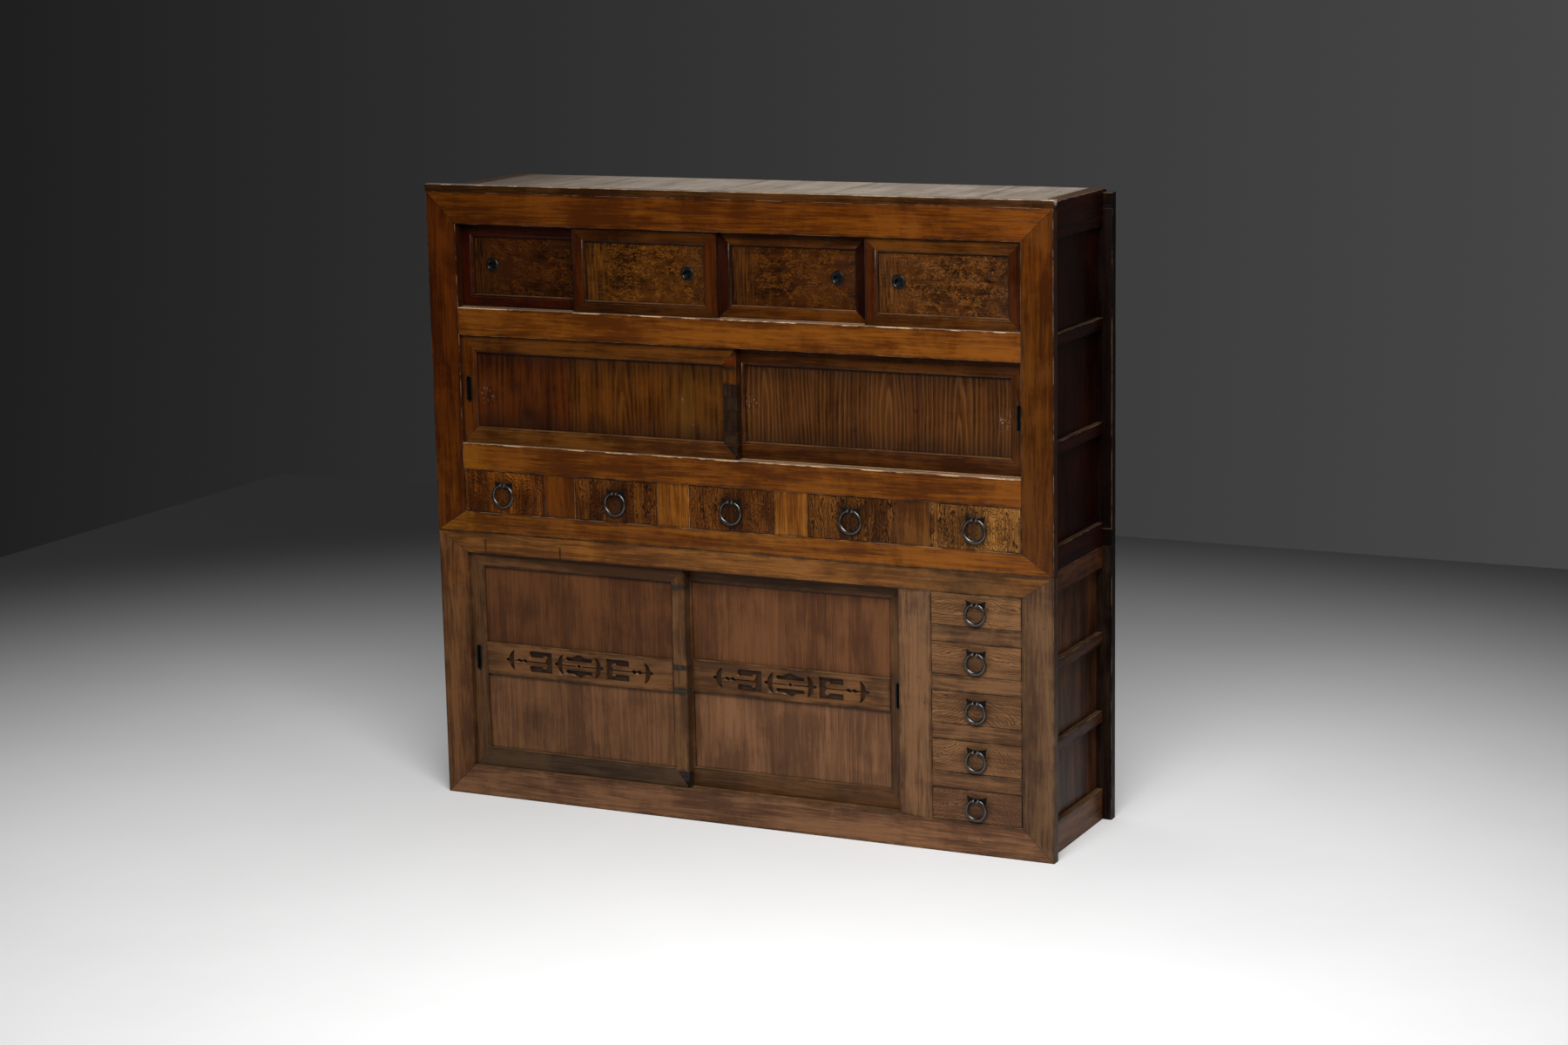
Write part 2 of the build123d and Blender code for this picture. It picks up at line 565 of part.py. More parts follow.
def round_cup(x, z, setback):
    """A round iron cup with a raised rim, let into a small door's panel."""
    hole, body, rim = CUP_HOLE / 2, CUP_HOLE / 2 + CUP_WALL, CUP_DIAMETER / 2
    panel_y = FACE_Y + setback + DOOR_PANEL_RECESS
    with BuildPart() as cup:
        with BuildSketch(Plane(origin=(x, panel_y, z), x_dir=(1, 0, 0), z_dir=(0, 0, 1))):
            Polygon((hole, -CUP_RIM), (rim - CUP_RIM, -CUP_RIM), (rim, 0), (body, 0), (body, CUP_DEPTH),
                    (0, CUP_DEPTH), (0, CUP_DEPTH - CUP_WALL), (hole, CUP_DEPTH - CUP_WALL), align=None)
        revolve(axis=Axis((x, 0, z), (0, 1, 0)))
    return cup.part


def long_cup(x, z, setback):
    """A long iron cup with a flat flange, let into a large door's stile."""
    inside = (SLOT_HEIGHT - 4 * SLOT_FLANGE, SLOT_WIDTH - 4 * SLOT_FLANGE)
    with BuildPart() as cup:
        with BuildSketch(facing(setback, x, z)):
            SlotOverall(SLOT_HEIGHT, SLOT_WIDTH, rotation=90)
        extrude(amount=SLOT_RIM)
        with BuildSketch(facing(setback, x, z)):
            SlotOverall(SLOT_HEIGHT - 2 * SLOT_FLANGE, SLOT_WIDTH - 2 * SLOT_FLANGE, rotation=90)
        extrude(amount=-SLOT_DEPTH)
        with BuildSketch(facing(setback - SLOT_RIM, x, z)):
            SlotOverall(*inside, rotation=90)
        extrude(amount=SLOT_FLANGE - SLOT_RIM - SLOT_DEPTH, mode=Mode.SUBTRACT)
    return cup.part


def small_doors():
    """The four small doors, by turns in the rear and the front track, from the left."""
    for number in range(SMALL_DOORS):
        setback = DOOR_SETBACK if number % 2 else REAR_SETBACK
        left = END_GAP - JAMB_X + number * SMALL_DOOR_WIDTH - sum(SMALL_DOOR_LAPS[:number])
        right = left + SMALL_DOOR_WIDTH
        outer_door = number in (0, SMALL_DOORS - 1)
        cup_x = left + CUP_FROM_EDGE if outer_door else right - CUP_FROM_EDGE
        cup_z = (SMALL_OPEN[0] + SMALL_OPEN[1]) / 2
        name = f"small_door_{number + 1}"
        save(name, sliding_door((left, right), SMALL_OPEN, SMALL_DOOR_FRAME, setback, hole=(cup_x, cup_z)))
        save(f"{name}_cup", [round_cup(cup_x, cup_z, setback)])


def door_pair(case, edges, lap, opening, frame, cup_z, band=False):
    """Two large doors: the left one in the front track and the right one in the rear track."""
    width = (edges[1] - edges[0] - 2 * END_GAP + lap) / 2
    left, right = edges[0] + END_GAP, edges[1] - END_GAP
    for side, x, setback, cup_x in (("left", (left, left + width), DOOR_SETBACK, left + SLOT_FROM_EDGE),
                                    ("right", (right - width, right), REAR_SETBACK, right - SLOT_FROM_EDGE)):
        pieces = sliding_door(x, opening, frame, setback, pocket=(cup_x, cup_z))
        if band:
            pieces.append(fretwork_band((x[0] + frame[0], x[1] - frame[0]), setback))
        save(f"{case}_door_{side}", pieces)
        save(f"{case}_door_{side}_cup", [long_cup(cup_x, cup_z, setback)])


# ======== Drawers and their ring pulls ========
def drawer_box(x, z):
    """Front, sides, back and bottom of the drawer that fills a bay between two x and two heights."""
    face_x, face_z = (x[0] + DRAWER_CLEAR, x[1] - DRAWER_CLEAR), (z[0] + DRAWER_CLEAR, z[1] - DRAWER_CLEAR)
    side_z = (z[0] + SEAT_GAP, face_z[1] - DRAWER_SIDE_DROP)
    outer = (face_x[0] + END_GAP, face_x[1] - END_GAP)
    inner = (outer[0] + DRAWER_SIDE_T, outer[1] - DRAWER_SIDE_T)
    bottom_z = (side_z[0] + DRAWER_BOTTOM_UP, side_z[0] + DRAWER_BOTTOM_UP + DRAWER_BOTTOM_T)
    pieces = [board(face_x, (0, DRAWER_FRONT_T), face_z)]
    for outer_x, inner_x in zip(outer, inner):
        groove = DRAWER_BOTTOM_GROOVE if inner_x < outer_x else -DRAWER_BOTTOM_GROOVE
        with BuildPart() as side:
            with BuildSketch(facing(DRAWER_FRONT_T)):
                with Locations(((outer_x + inner_x) / 2, (side_z[0] + side_z[1]) / 2)):
                    Rectangle(DRAWER_SIDE_T, side_z[1] - side_z[0])
                with Locations((inner_x, (bottom_z[0] + bottom_z[1]) / 2)):
                    Rectangle(2 * abs(groove), DRAWER_BOTTOM_T, mode=Mode.SUBTRACT)
            extrude(amount=DRAWER_FRONT_T - DRAWER_LENGTH)
        pieces.append(side.part)
    pieces.append(board((inner[0] - DRAWER_BOTTOM_GROOVE, inner[1] + DRAWER_BOTTOM_GROOVE),
                        (DRAWER_FRONT_T, DRAWER_LENGTH), bottom_z))
    pieces.append(board(inner, (DRAWER_LENGTH - DRAWER_BACK_T, DRAWER_LENGTH), (bottom_z[1], side_z[1])))
    return pieces


def pivot_height(ring):
    """Height of a ring's pivot over its centre: where the ring's middle line meets its mouth."""
    return sqrt((ring / 2 - RING_WIRE / 2) ** 2 - (RING_MOUTH / 2) ** 2)


def ring_plate(x, pivot_z):
    """The winged back plate, narrow in the middle, with the two eyes that carry the ring."""
    low, high, half = -PLATE_HEIGHT / 2, PLATE_HEIGHT / 2, PLATE_WIDTH / 2
    foot = half - PLATE_TAPER
    with BuildPart() as plate:
        with BuildSketch(facing(0, x, pivot_z)):
            with BuildLine():
                ThreePointArc((-half, high), (0, high - PLATE_DIP), (half, high))
                Line((half, high), (foot, low))
                ThreePointArc((foot, low), (0, low + PLATE_DIP), (-foot, low))
                Line((-foot, low), (-half, high))
            make_face()
        extrude(amount=PLATE_T)
        for side in (-1, 1):
            eye_x = on_side(side, EYE_SPACE / 2, EYE_SPACE / 2 + EYE_T)
            with BuildSketch(Plane.YZ.offset(x + eye_x[0])) as eye:
                with Locations((FACE_Y - (PIVOT_OUT + EYE_RADIUS + PLATE_T) / 2, pivot_z)):
                    Rectangle(PIVOT_OUT + EYE_RADIUS - PLATE_T, 2 * EYE_RADIUS)
                chamfer(eye.vertices().group_by(Axis.X)[0], EYE_RADIUS * EYE_CORNER)
                with Locations((FACE_Y - PIVOT_OUT, pivot_z)):
                    Circle(PIN / 2 + PIN_CLEAR, mode=Mode.SUBTRACT)
            extrude(amount=EYE_T)
    return plate.part


def pull_ring(x, pivot_z, ring):
    """An open ring of forged bar, whose ends turn in to pins that hang in the eyes."""
    mouth, pivot_y, centre_z = RING_MOUTH / 2, FACE_Y - PIVOT_OUT, pivot_z - pivot_height(ring)
    radius, start = hypot(mouth, pivot_height(ring)), atan2(mouth, pivot_height(ring))
    turns = [start + 2 * (pi - start) * chord / RING_CHORDS for chord in range(RING_CHORDS + 1)]
    with BuildPart() as loop:
        with BuildLine() as middle:
            Polyline(*[(x + radius * sin(turn), pivot_y, centre_z + radius * cos(turn)) for turn in turns])
        with BuildSketch(Plane(origin=middle.line @ 0, x_dir=(0, 1, 0), z_dir=middle.line % 0)):
            RegularPolygon(RING_WIRE / 2, RING_SIDES, major_radius=False, rotation=180 / RING_SIDES)
        sweep(path=middle.line, transition=Transition.RIGHT)
        for side in (-1, 1):
            pin_x = on_side(side, EYE_SPACE / 2 - GROOVE_CLEAR, mouth + PIN / 2)
            with BuildSketch(Plane.YZ.offset(x + pin_x[0])):
                with Locations((FACE_Y - PIVOT_OUT, pivot_z)):
                    Circle(PIN / 2)
            extrude(amount=pin_x[1] - pin_x[0])
    return loop.part


def drawer(name, x, z, ring):
    centre_x, centre_z = (x[0] + x[1]) / 2, (z[0] + z[1]) / 2 - RING_DROP
    pivot_z = centre_z + pivot_height(ring)
    save(name, drawer_box(x, z))
    save(f"{name}_plate", [ring_plate(centre_x, pivot_z)])
    save(f"{name}_ring", [pull_ring(centre_x, pivot_z, ring)])


# ======== The cabinet ========
lower_front_frame()
upper_front_frame()
side_frames("lower", (0, LOWER_HEIGHT), BASE_RAIL, LOWER_OPEN[1], LOWER_SIDE_BARS)
side_frames("upper", (LOWER_HEIGHT, TOP_Z), LOWER_HEIGHT + UPPER_SIDE_BASE, SMALL_OPEN[1], UPPER_SIDE_BARS,
            cap_z=(TOTAL_HEIGHT, TOP_Z))
side_panels("lower", BASE_RAIL, LOWER_OPEN[1])
side_panels("upper", LOWER_HEIGHT + UPPER_SIDE_BASE, SMALL_OPEN[1])
back("lower", (0, LOWER_HEIGHT), LOWER_HEIGHT, LOWER_BACK_RAIL, LOWER_BACK_RAIL, rails_pass_posts=False)
back("upper", (LOWER_HEIGHT, TOTAL_HEIGHT), TOP_Z - TOP_BOARD_T, UPPER_BACK_BASE, UPPER_BACK_HEAD,
     rails_pass_posts=True)
top_boards()
top_nosing()
lower_inside()
upper_inside()
small_doors()
door_pair("middle", (-OPEN_X, OPEN_X), MIDDLE_DOOR_LAP, MIDDLE_OPEN, MIDDLE_DOOR_FRAME,
          cup_z=(MIDDLE_OPEN[0] + MIDDLE_OPEN[1]) / 2)
door_pair("lower", (-OPEN_X, POST_LEFT), LOWER_DOOR_LAP, LOWER_OPEN, LOWER_DOOR_FRAME,
          cup_z=BAND_CENTRE, band=True)
for count in range(DRAWERS):
    drawer(f"row_drawer_{count + 1}", row_bay(count), ROW_OPEN, ROW_RING)
    drawer(f"column_drawer_{count + 1}", (POST_RIGHT, OPEN_X), column_bay(count), COLUMN_RING)
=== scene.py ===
import json
import math
from functools import partial
from random import Random

import bmesh
import bpy
from mathutils import Matrix, Vector, noise

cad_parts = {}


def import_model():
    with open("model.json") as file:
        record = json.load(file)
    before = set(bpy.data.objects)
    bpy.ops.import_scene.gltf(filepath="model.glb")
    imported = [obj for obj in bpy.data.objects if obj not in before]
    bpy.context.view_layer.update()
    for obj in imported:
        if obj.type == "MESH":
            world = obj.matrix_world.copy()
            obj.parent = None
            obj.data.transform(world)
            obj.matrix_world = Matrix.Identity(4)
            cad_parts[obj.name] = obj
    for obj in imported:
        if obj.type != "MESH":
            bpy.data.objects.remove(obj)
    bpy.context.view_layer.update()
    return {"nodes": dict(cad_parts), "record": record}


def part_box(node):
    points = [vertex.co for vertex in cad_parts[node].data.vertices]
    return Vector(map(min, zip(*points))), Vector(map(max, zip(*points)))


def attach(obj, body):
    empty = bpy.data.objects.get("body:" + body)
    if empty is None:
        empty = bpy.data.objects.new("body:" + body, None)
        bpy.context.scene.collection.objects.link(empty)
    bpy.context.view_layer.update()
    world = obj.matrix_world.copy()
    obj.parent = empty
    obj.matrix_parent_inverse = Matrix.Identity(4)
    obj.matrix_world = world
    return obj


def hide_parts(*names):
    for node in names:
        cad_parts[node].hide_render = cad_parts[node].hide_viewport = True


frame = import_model()

MM = 0.001
X, Y, Z = range(3)
GRID = 1e5                    # corner points are told apart to a hundredth of a millimetre
SMALL_DOORS, DRAWERS = range(1, 5), range(1, 6)      # numbers of the small doors and of a row's drawers
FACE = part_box("lower_front_frame")[0].y              # the front frames' face
HALF_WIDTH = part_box("lower_front_frame")[1].x
STILE = 0.085                 # width of the front frames' stiles, in metres
UPPER_LEVELS = (0.727, 0.782, 1.547, 1.630)          # foot, sill, head and top of a front frame, in metres
LOWER_LEVELS = (0.0, 0.083, 0.670, 0.727)
NODES = frame["nodes"]
BODY_OF = {node: body for body, nodes in frame["record"]["behaviour"]["bodies"].items()
           for node in nodes}


def pivots(row):
    """Centres of the dark blooms around the rings of a row, a little under each plate, as x and z."""
    under = 0.006
    boxes = [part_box(f"{row}_drawer_{number}_plate") for number in DRAWERS]
    return [((low.x + high.x) / 2, low.z - under) for low, high in boxes]


ROW_RINGS, COLUMN_RINGS = pivots("row"), pivots("column")
CUPS = [((low.x + high.x) / 2, (low.z + high.z) / 2)
        for low, high in (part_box(f"small_door_{number}_cup") for number in SMALL_DOORS)]


# ======== Materials ========
CONTRAST = 3.5                # how far each pattern moves a board between its dark and its light colour
FIBRE = 0.75                  # weight of the finest streaks
RECESS_REACH = 9 * MM               # how far out of a recess the dirt and painted shade reach
JOINT_AND_SHADE = (0.012, 0.006, 0.003)                        # colour of a joint's dirt, and of the painted shade behind the pierced bands


class Graph:
    """A node material with short ways to add its nodes."""

    def __init__(self, name):
        self.material = bpy.data.materials.new(name)
        self.material.use_nodes = True
        self.nodes = self.material.node_tree.nodes
        self.links = self.material.node_tree.links
        self.shader = self.nodes["Principled BSDF"]

    def put(self, socket, value):
        if isinstance(value, bpy.types.NodeSocket):
            self.links.new(value, socket)
        elif socket.type == "RGBA" and len(value) == 3:
            socket.default_value = (*value, 1)
        else:
            socket.default_value = value

    def add(self, kind, inputs=(), out=0, **settings):
        node = self.nodes.new("ShaderNode" + kind)
        for key, value in settings.items():
            setattr(node, key, value)
        for key, value in (inputs.items() if isinstance(inputs, dict) else enumerate(inputs)):
            self.put(node.inputs[key], value)
        return node.outputs[out]

    def math(self, operation, *values, clamp=False):
        return self.add("Math", values, operation=operation, use_clamp=clamp)

    def vector(self, operation, *values):
        return self.add("VectorMath", values, operation=operation)

    def attribute(self, name, out=1):
        return self.add("Attribute", out=out, attribute_name=name)

    def split(self, vector):
        return [self.add("SeparateXYZ", (vector,), out=i) for i in range(3)]

    def noise(self, vector, scale, detail=2.0, rough=0.5, distortion=0.0):
        inputs = {"Vector": self.vector("MULTIPLY", vector, scale), "Scale": 1.0, "Detail": detail,
                  "Roughness": rough, "Distortion": distortion}
        return self.add("TexNoise", inputs)

    def ramp(self, value, start, end, low=0.0, high=1.0):
        inputs = {"Value": value, "From Min": start, "From Max": end, "To Min": low, "To Max": high}
        return self.add("MapRange", inputs, interpolation_type="SMOOTHSTEP")

    def mix(self, factor, first, second, blend="MIX"):
        node = self.nodes.new("ShaderNodeMix")
        node.data_type, node.blend_type, node.clamp_factor = "RGBA", blend, True
        for socket, value in ((node.inputs[0], factor), (node.inputs[6], first), (node.inputs[7], second)):
            self.put(socket, value)
        return node.outputs[2]

    def bump(self, height, distance, normal=None):
        inputs = {"Height": height, "Distance": distance, "Strength": 1.0}
        if normal is not None:
            inputs["Normal"] = normal
        return self.add("Bump", inputs)

    def finish(self, **sockets):
        for name, value in sockets.items():
            self.put(self.shader.inputs[name.replace("_", " ")], value)
        return self.material


def lines_of(g, level, rise, weakest=0.2):
    """A line at each whole number of a level, rising slowly and ending sharply, some stronger than others."""
    full, fall = 0.86, 0.9
    saw = g.math("FRACT", level)
    line = g.math("MULTIPLY", g.ramp(saw, rise, full), g.ramp(saw, 1.0, fall))
    uneven = g.add("TexNoise", {"W": g.math("MULTIPLY", level, 0.43), "Scale": 1.0, "Detail": 2.0},
                   noise_dimensions="1D")
    return g.math("MULTIPLY", line, g.ramp(uneven, 0.33, 0.62, weakest, 1.0))


def growth_rings(g, gap, wander, rise=0.2):
    """Growth rings cut by the board's face, which arch where the heart is near. gap and wander are in metres,
    and figure is the heart's place."""
    grain, figure = g.attribute("grain"), g.split(g.attribute("figure"))
    along, across, through = g.split(g.attribute("span"))
    drift = g.math("SUBTRACT", g.noise(grain, (1.6, 9, 9), 3.0), 0.5)
    fine = g.math("SUBTRACT", g.noise(grain, (7, 60, 60), 3.0), 0.5)
    side = g.math("MULTIPLY_ADD", drift, wander, g.math("SUBTRACT", across, figure[0]))
    heart = g.math("ADD", g.math("MULTIPLY_ADD", along, figure[1], figure[2]), through)
    heart = g.math("MULTIPLY_ADD", drift, wander * 0.6, heart)
    squares = g.math("ADD", g.math("MULTIPLY", side, side), g.math("MULTIPLY", heart, heart))
    rings = g.math("MULTIPLY", g.math("SQRT", squares), 1 / gap)
    return lines_of(g, g.math("MULTIPLY_ADD", fine, 0.8, rings), rise)


def contours(g, size, rise, stretch):
    """The wavy contour lines of figured wood, which mirror a little beside the board's middle. figure is
    their number to a metre across and along, and the swirl. size is the waves' width in metres, and stretch
    is how close they lie each way, under 1 where they are drawn out."""
    finer, ripple_part, mirror = 3.6, 0.26, 0.012
    grain, figure = g.attribute("grain"), g.split(g.attribute("figure"))
    along, across, _ = g.split(g.attribute("span"))
    coarse = g.noise(grain, [s / size for s in stretch], 1.5, 0.45, 0.4)
    ripple = g.noise(grain, [finer * s / size for s in stretch], 2.0, 0.55, 0.6)
    along = g.math("ABSOLUTE", g.math("ADD", along, mirror))
    level = g.math("MULTIPLY_ADD", across, figure[0], g.math("MULTIPLY", along, figure[1]))
    level = g.math("MULTIPLY_ADD", coarse, figure[2], level)
    level = g.math("MULTIPLY_ADD", ripple, g.math("MULTIPLY", figure[2], ripple_part), level)
    return lines_of(g, level, rise, 0.6)


def curls(g):
    """The short curls and flecks of burl, which run together into straight grain at the board's left end."""
    end_from, end_to = -0.045, -0.105
    grain = g.attribute("grain")
    fine = g.noise(grain, (120, 190, 190), 4.0, 0.62, 1.8)
    mid = g.noise(grain, (22, 30, 30), 3.0, 0.55, 1.2)
    curled = g.math("MULTIPLY", g.ramp(fine, 0.42, 0.64), g.ramp(mid, 0.38, 0.62, 0.15, 1.0))
    straight = g.ramp(g.noise(grain, (240, 14, 14), 4.0, 0.6, 0.8), 0.36, 0.72)
    left_end = g.split(g.attribute("span"))[0]
    left_end = g.ramp(g.math("MULTIPLY_ADD", mid, 0.09, left_end), end_from, end_to)
    gap = g.math("SUBTRACT", straight, curled)
    return g.math("MULTIPLY_ADD", gap, g.math("MULTIPLY", left_end, 0.9), curled)


def dirt_and_shade_on(g, grain, patchy, inward, rim, edge_dirt_and_shade, end_shade, specks, recess_dirt_and_shade):
    """Dirt and painted shade along a board's edges, painted shade towards its ends, specks, and dirt with
    painted shade in the recesses, from 0 to 1.
    """
    along, across, _ = inward
    # The dark band along a board's edges is dirt and also painted shadow, for the gaps between boards and
    # drawers.
    edge = g.math("MULTIPLY_ADD", g.math("SUBTRACT", patchy, 0.5), rim * 3.0 * MM,
                  g.math("MINIMUM", along, across))
    dirt_and_shade = g.math("MULTIPLY", g.ramp(edge, rim * 1.2 * MM, rim * -0.3 * MM), edge_dirt_and_shade)
    # Painted shade: a board's ends are darkened where the frame around a panel shades it.
    if end_shade:
        dirt_and_shade = g.math("MAXIMUM", dirt_and_shade, g.math("MULTIPLY", g.ramp(along, 0.07, 0.0), end_shade))
    if specks:
        cell = g.add("TexVoronoi", (g.vector("MULTIPLY", grain, (0.6, 1, 1)), 0.0, 40.0))
        dirt_and_shade = g.math("MAXIMUM", dirt_and_shade, g.math("MULTIPLY", g.ramp(cell, 0.085, 0.035), specks))
    if recess_dirt_and_shade:
        # Painted shade: ambient occlusion darkens corners, gaps and the openings of the pierced bands, as
        # dirt and shade together.
        open_air = g.add("AmbientOcclusion", {"Distance": RECESS_REACH}, out=1, samples=5)
        recess_mask = g.ramp(g.math("MULTIPLY_ADD", patchy, 0.2, open_air), 0.78, 0.3)
        dirt_and_shade = g.math("MAXIMUM", dirt_and_shade, g.math("MULTIPLY", recess_mask, recess_dirt_and_shade))
    return dirt_and_shade


def rubbed_and_highlit(g, grain, streaks, deep):
    """Where hands and doors have rubbed through, painted also as highlights: upper arrises, other arrises a
    little, and faces that look up, lightened as painted light, from 0 to 1. deep is the distance from the
    board's front or back face."""
    worn = g.attribute("worn", 2)
    top = g.split(g.vector("SUBTRACT", g.attribute("half"), g.attribute("span")))[1]
    broken = g.ramp(g.noise(grain, (16, 90, 90), 4.0, 0.65), 0.46, 0.56)
    rubbed_and_highlit_edges = g.math("MULTIPLY", g.ramp(top, 0.0026, 0.0010), worn)
    arrises = g.math("MULTIPLY", g.attribute("arris", 2), 0.25)
    rubbed_and_highlit_edges = g.math("MULTIPLY", g.math("MAXIMUM", rubbed_and_highlit_edges, arrises), broken)
    rubbed_and_highlit_edges = g.math("MULTIPLY", rubbed_and_highlit_edges, g.ramp(deep, 0.0045, 0.003))
    # Painted light: faces that look up are lightened, as if lit from above.
    lit_from_above = g.ramp(g.split(g.add("TexCoord", out=1))[2], 0.5, 0.85)
    lit_from_above = g.math("MULTIPLY", g.math("MULTIPLY", lit_from_above, worn), g.ramp(streaks, 0.4, 0.6, 0.35, 0.6))
    return g.math("MAXIMUM", rubbed_and_highlit_edges, lit_from_above)


def wood(name, light, dark, line, lines, *, line_strength=0.5, streak=0.7, blotch=0.75, flame=0.08, edge_dirt_and_shade=0.6,
         rim=7.0, end_shade=0.0, wear_and_highlight=0.45, wear_and_highlight_colour=(0.40, 0.23, 0.105), specks=0.0, roughness=0.27, gloss=0.2,
         recess_dirt_and_shade=0.75, marks=None):
    """Finished wood: streaks from dark to light, figure lines, pores, dirt and painted shade in recesses, and
    rubbed arrises with painted highlights.
    rim is the width in millimetres of the dirt and painted shade along a board's edges."""
    g = Graph(name)
    line_here = lines(g)
    here, grain, tone = g.add("TexCoord", out=3), g.attribute("grain"), g.attribute("tone", 2)
    streaks = g.noise(grain, (4.5, 75, 75), 5.0, 0.62, 0.5)
    fibres = g.noise(grain, (11, 270, 270), 4.0, 0.66)
    pores = g.ramp(g.noise(grain, (38, 1300, 1300), 2.0, 0.5), 0.6, 0.74)
    broad = g.noise(grain, (2.2, 15, 15), 3.0, 0.55, 0.6)
    across_grain = g.noise(grain, (32, 5, 5), 2.0, 0.5, 0.6)
    cloud = g.noise(here, (7, 7, 7), 5.0, 0.62, 0.5)
    pore_colour, dirt_and_shade_colour = (tuple(c * part for c in dark) for part in (0.35, 0.16))

    body = g.math("ADD", tone, 0.5)
    for pattern, weight in ((streaks, streak), (fibres, FIBRE), (broad, blotch), (across_grain, flame),
                            (cloud, blotch)):
        body = g.math("MULTIPLY_ADD", g.math("SUBTRACT", pattern, 0.5), weight * CONTRAST, body)
    colour = g.mix(g.math("MAXIMUM", body, 0.0, clamp=True), dark, light)
    colour = g.mix(g.math("MULTIPLY", line_here, line_strength), colour, line)
    colour = g.mix(g.math("MULTIPLY", pores, 0.4), colour, pore_colour)
    colour = g.mix(1.0, colour, g.attribute("tint", 0), "MULTIPLY")
    if marks:
        colour = marks(g, colour, here)

    inward = g.vector("SUBTRACT", g.attribute("half"), g.vector("ABSOLUTE", g.attribute("span")))
    inward = g.split(inward)
    patchy = g.noise(here, (26, 26, 26), 3.0, 0.62)
    dirt_and_shade = dirt_and_shade_on(g, grain, patchy, inward, rim, edge_dirt_and_shade, end_shade, specks, recess_dirt_and_shade)
    colour = g.mix(dirt_and_shade, colour, dirt_and_shade_colour)
    colour = g.mix(g.math("MULTIPLY", rubbed_and_highlit(g, grain, streaks, inward[2]), wear_and_highlight), colour, wear_and_highlight_colour)

    fine_bump, wave_bump = 0.2 * MM, 1.2 * MM
    height = g.math("MULTIPLY_ADD", fibres, 0.5, g.math("MULTIPLY", line_here, 0.5))
    height = g.math("SUBTRACT", height, g.math("MULTIPLY", pores, 0.5))
    normal = g.bump(height, fine_bump)
    normal = g.bump(g.noise(grain, (7, 26, 26), 2.0), wave_bump, normal)
    rough = g.ramp(cloud, 0.3, 0.7, roughness - 0.05, roughness + 0.07)
    rough = g.math("MULTIPLY_ADD", dirt_and_shade, 0.2, rough)
    return g.finish(Base_Color=colour, Roughness=rough, Normal=normal, Specular_IOR_Level=gloss)


def near(g, here, centre, radius, soft=0.6):
    """1 at a place of the cabinet, falling to 0 at a ragged radius around it, in metres."""
    gap = g.vector("DISTANCE", here, centre).node.outputs["Value"]
    ragged = g.math("MULTIPLY_ADD", g.noise(here, (60, 60, 60), 3.0), radius * 0.8, gap)
    return g.ramp(ragged, radius * 1.4, radius * soft)


def scratched(*spots):
    """Pale scratches and flakes in ragged patches: each spot is its centre and radius in metres."""
    bare_wood = (0.36, 0.29, 0.21)

    def marks(g, colour, here):
        flakes = g.ramp(g.noise(here, (300, 300, 150), 3.0, 0.6), 0.60, 0.67)
        flakes = g.math("MULTIPLY", flakes, 0.45)
        for centre, radius in spots:
            colour = g.mix(g.math("MULTIPLY", near(g, here, centre, radius), flakes), colour, bare_wood)
        return colour
    return marks


def stained(*spots, strength=0.7):
    """Dark stains and knots: each spot is its centre and radius in metres."""
    stain = (0.012, 0.004, 0.001)

    def marks(g, colour, here):
        for centre, radius in spots:
            place = near(g, here, centre, radius, 0.3)
            colour = g.mix(g.math("MULTIPLY", place, strength), colour, stain)
        return colour
    return marks


def dark_bloom(spots, strength, radius=0.034):
    """A dark ragged bloom around each pull. spots are the pulls' x and z."""
    bloom_colour = (0.010, 0.004, 0.0015)

    def marks(g, colour, here):
        flat = g.vector("MULTIPLY", here, (1, 0, 1))
        nearest = None
        for x, z in spots:
            gap = g.vector("DISTANCE", flat, (x, 0, z)).node.outputs["Value"]
            nearest = gap if nearest is None else g.math("MINIMUM", nearest, gap)
        ragged = g.math("MULTIPLY_ADD", g.noise(here, (70, 70, 70), 3.0), radius * 0.7, nearest)
        bloom = g.ramp(ragged, radius * 1.9, radius * 1.0)
        return g.mix(g.math("MULTIPLY", bloom, strength), colour, bloom_colour)
    return marks


def joints_and_shade(*spots):
    """Dark joints, such as the ends of patches let into a rail, and painted shade over a whole box, such as
    behind the pierced bands: each spot is its centre and half its size.
    """
    def marks(g, colour, here):
        for centre, half in spots:
            away = g.vector("ABSOLUTE", g.vector("SUBTRACT", here, centre))
            gaps = g.split(g.vector("SUBTRACT", away, half))
            outside = g.math("MAXIMUM", g.math("MAXIMUM", gaps[0], gaps[1]), gaps[2])
            dark_mark = g.ramp(outside, 0.0025, -0.0005)
            colour = g.mix(g.math("MULTIPLY", dark_mark, 0.8), colour, JOINT_AND_SHADE)
        return colour
    return marks


def mitred(foot, sill, head, top):
    """Fine dark joints along a front frame's four mitres, between the levels of its rails in metres."""
    def marks(g, colour, here):
        x, _, z = g.split(here)
        side = g.math("MULTIPLY", g.math("SUBTRACT", HALF_WIDTH, g.math("ABSOLUTE", x)), 1 / STILE)
        up = g.math("MULTIPLY", g.math("SUBTRACT", z, foot), 1 / (sill - foot))
        down = g.math("MULTIPLY", g.math("SUBTRACT", top, z), 1 / (top - head))
        off = g.math("ABSOLUTE", g.math("SUBTRACT", side, g.math("MINIMUM", up, down)))
        dark_mark = g.math("MULTIPLY", g.ramp(off, 0.020, 0.006), g.ramp(side, 1.02, 1.0))
        return g.mix(g.math("MULTIPLY", dark_mark, 0.7), colour, JOINT_AND_SHADE)
    return marks


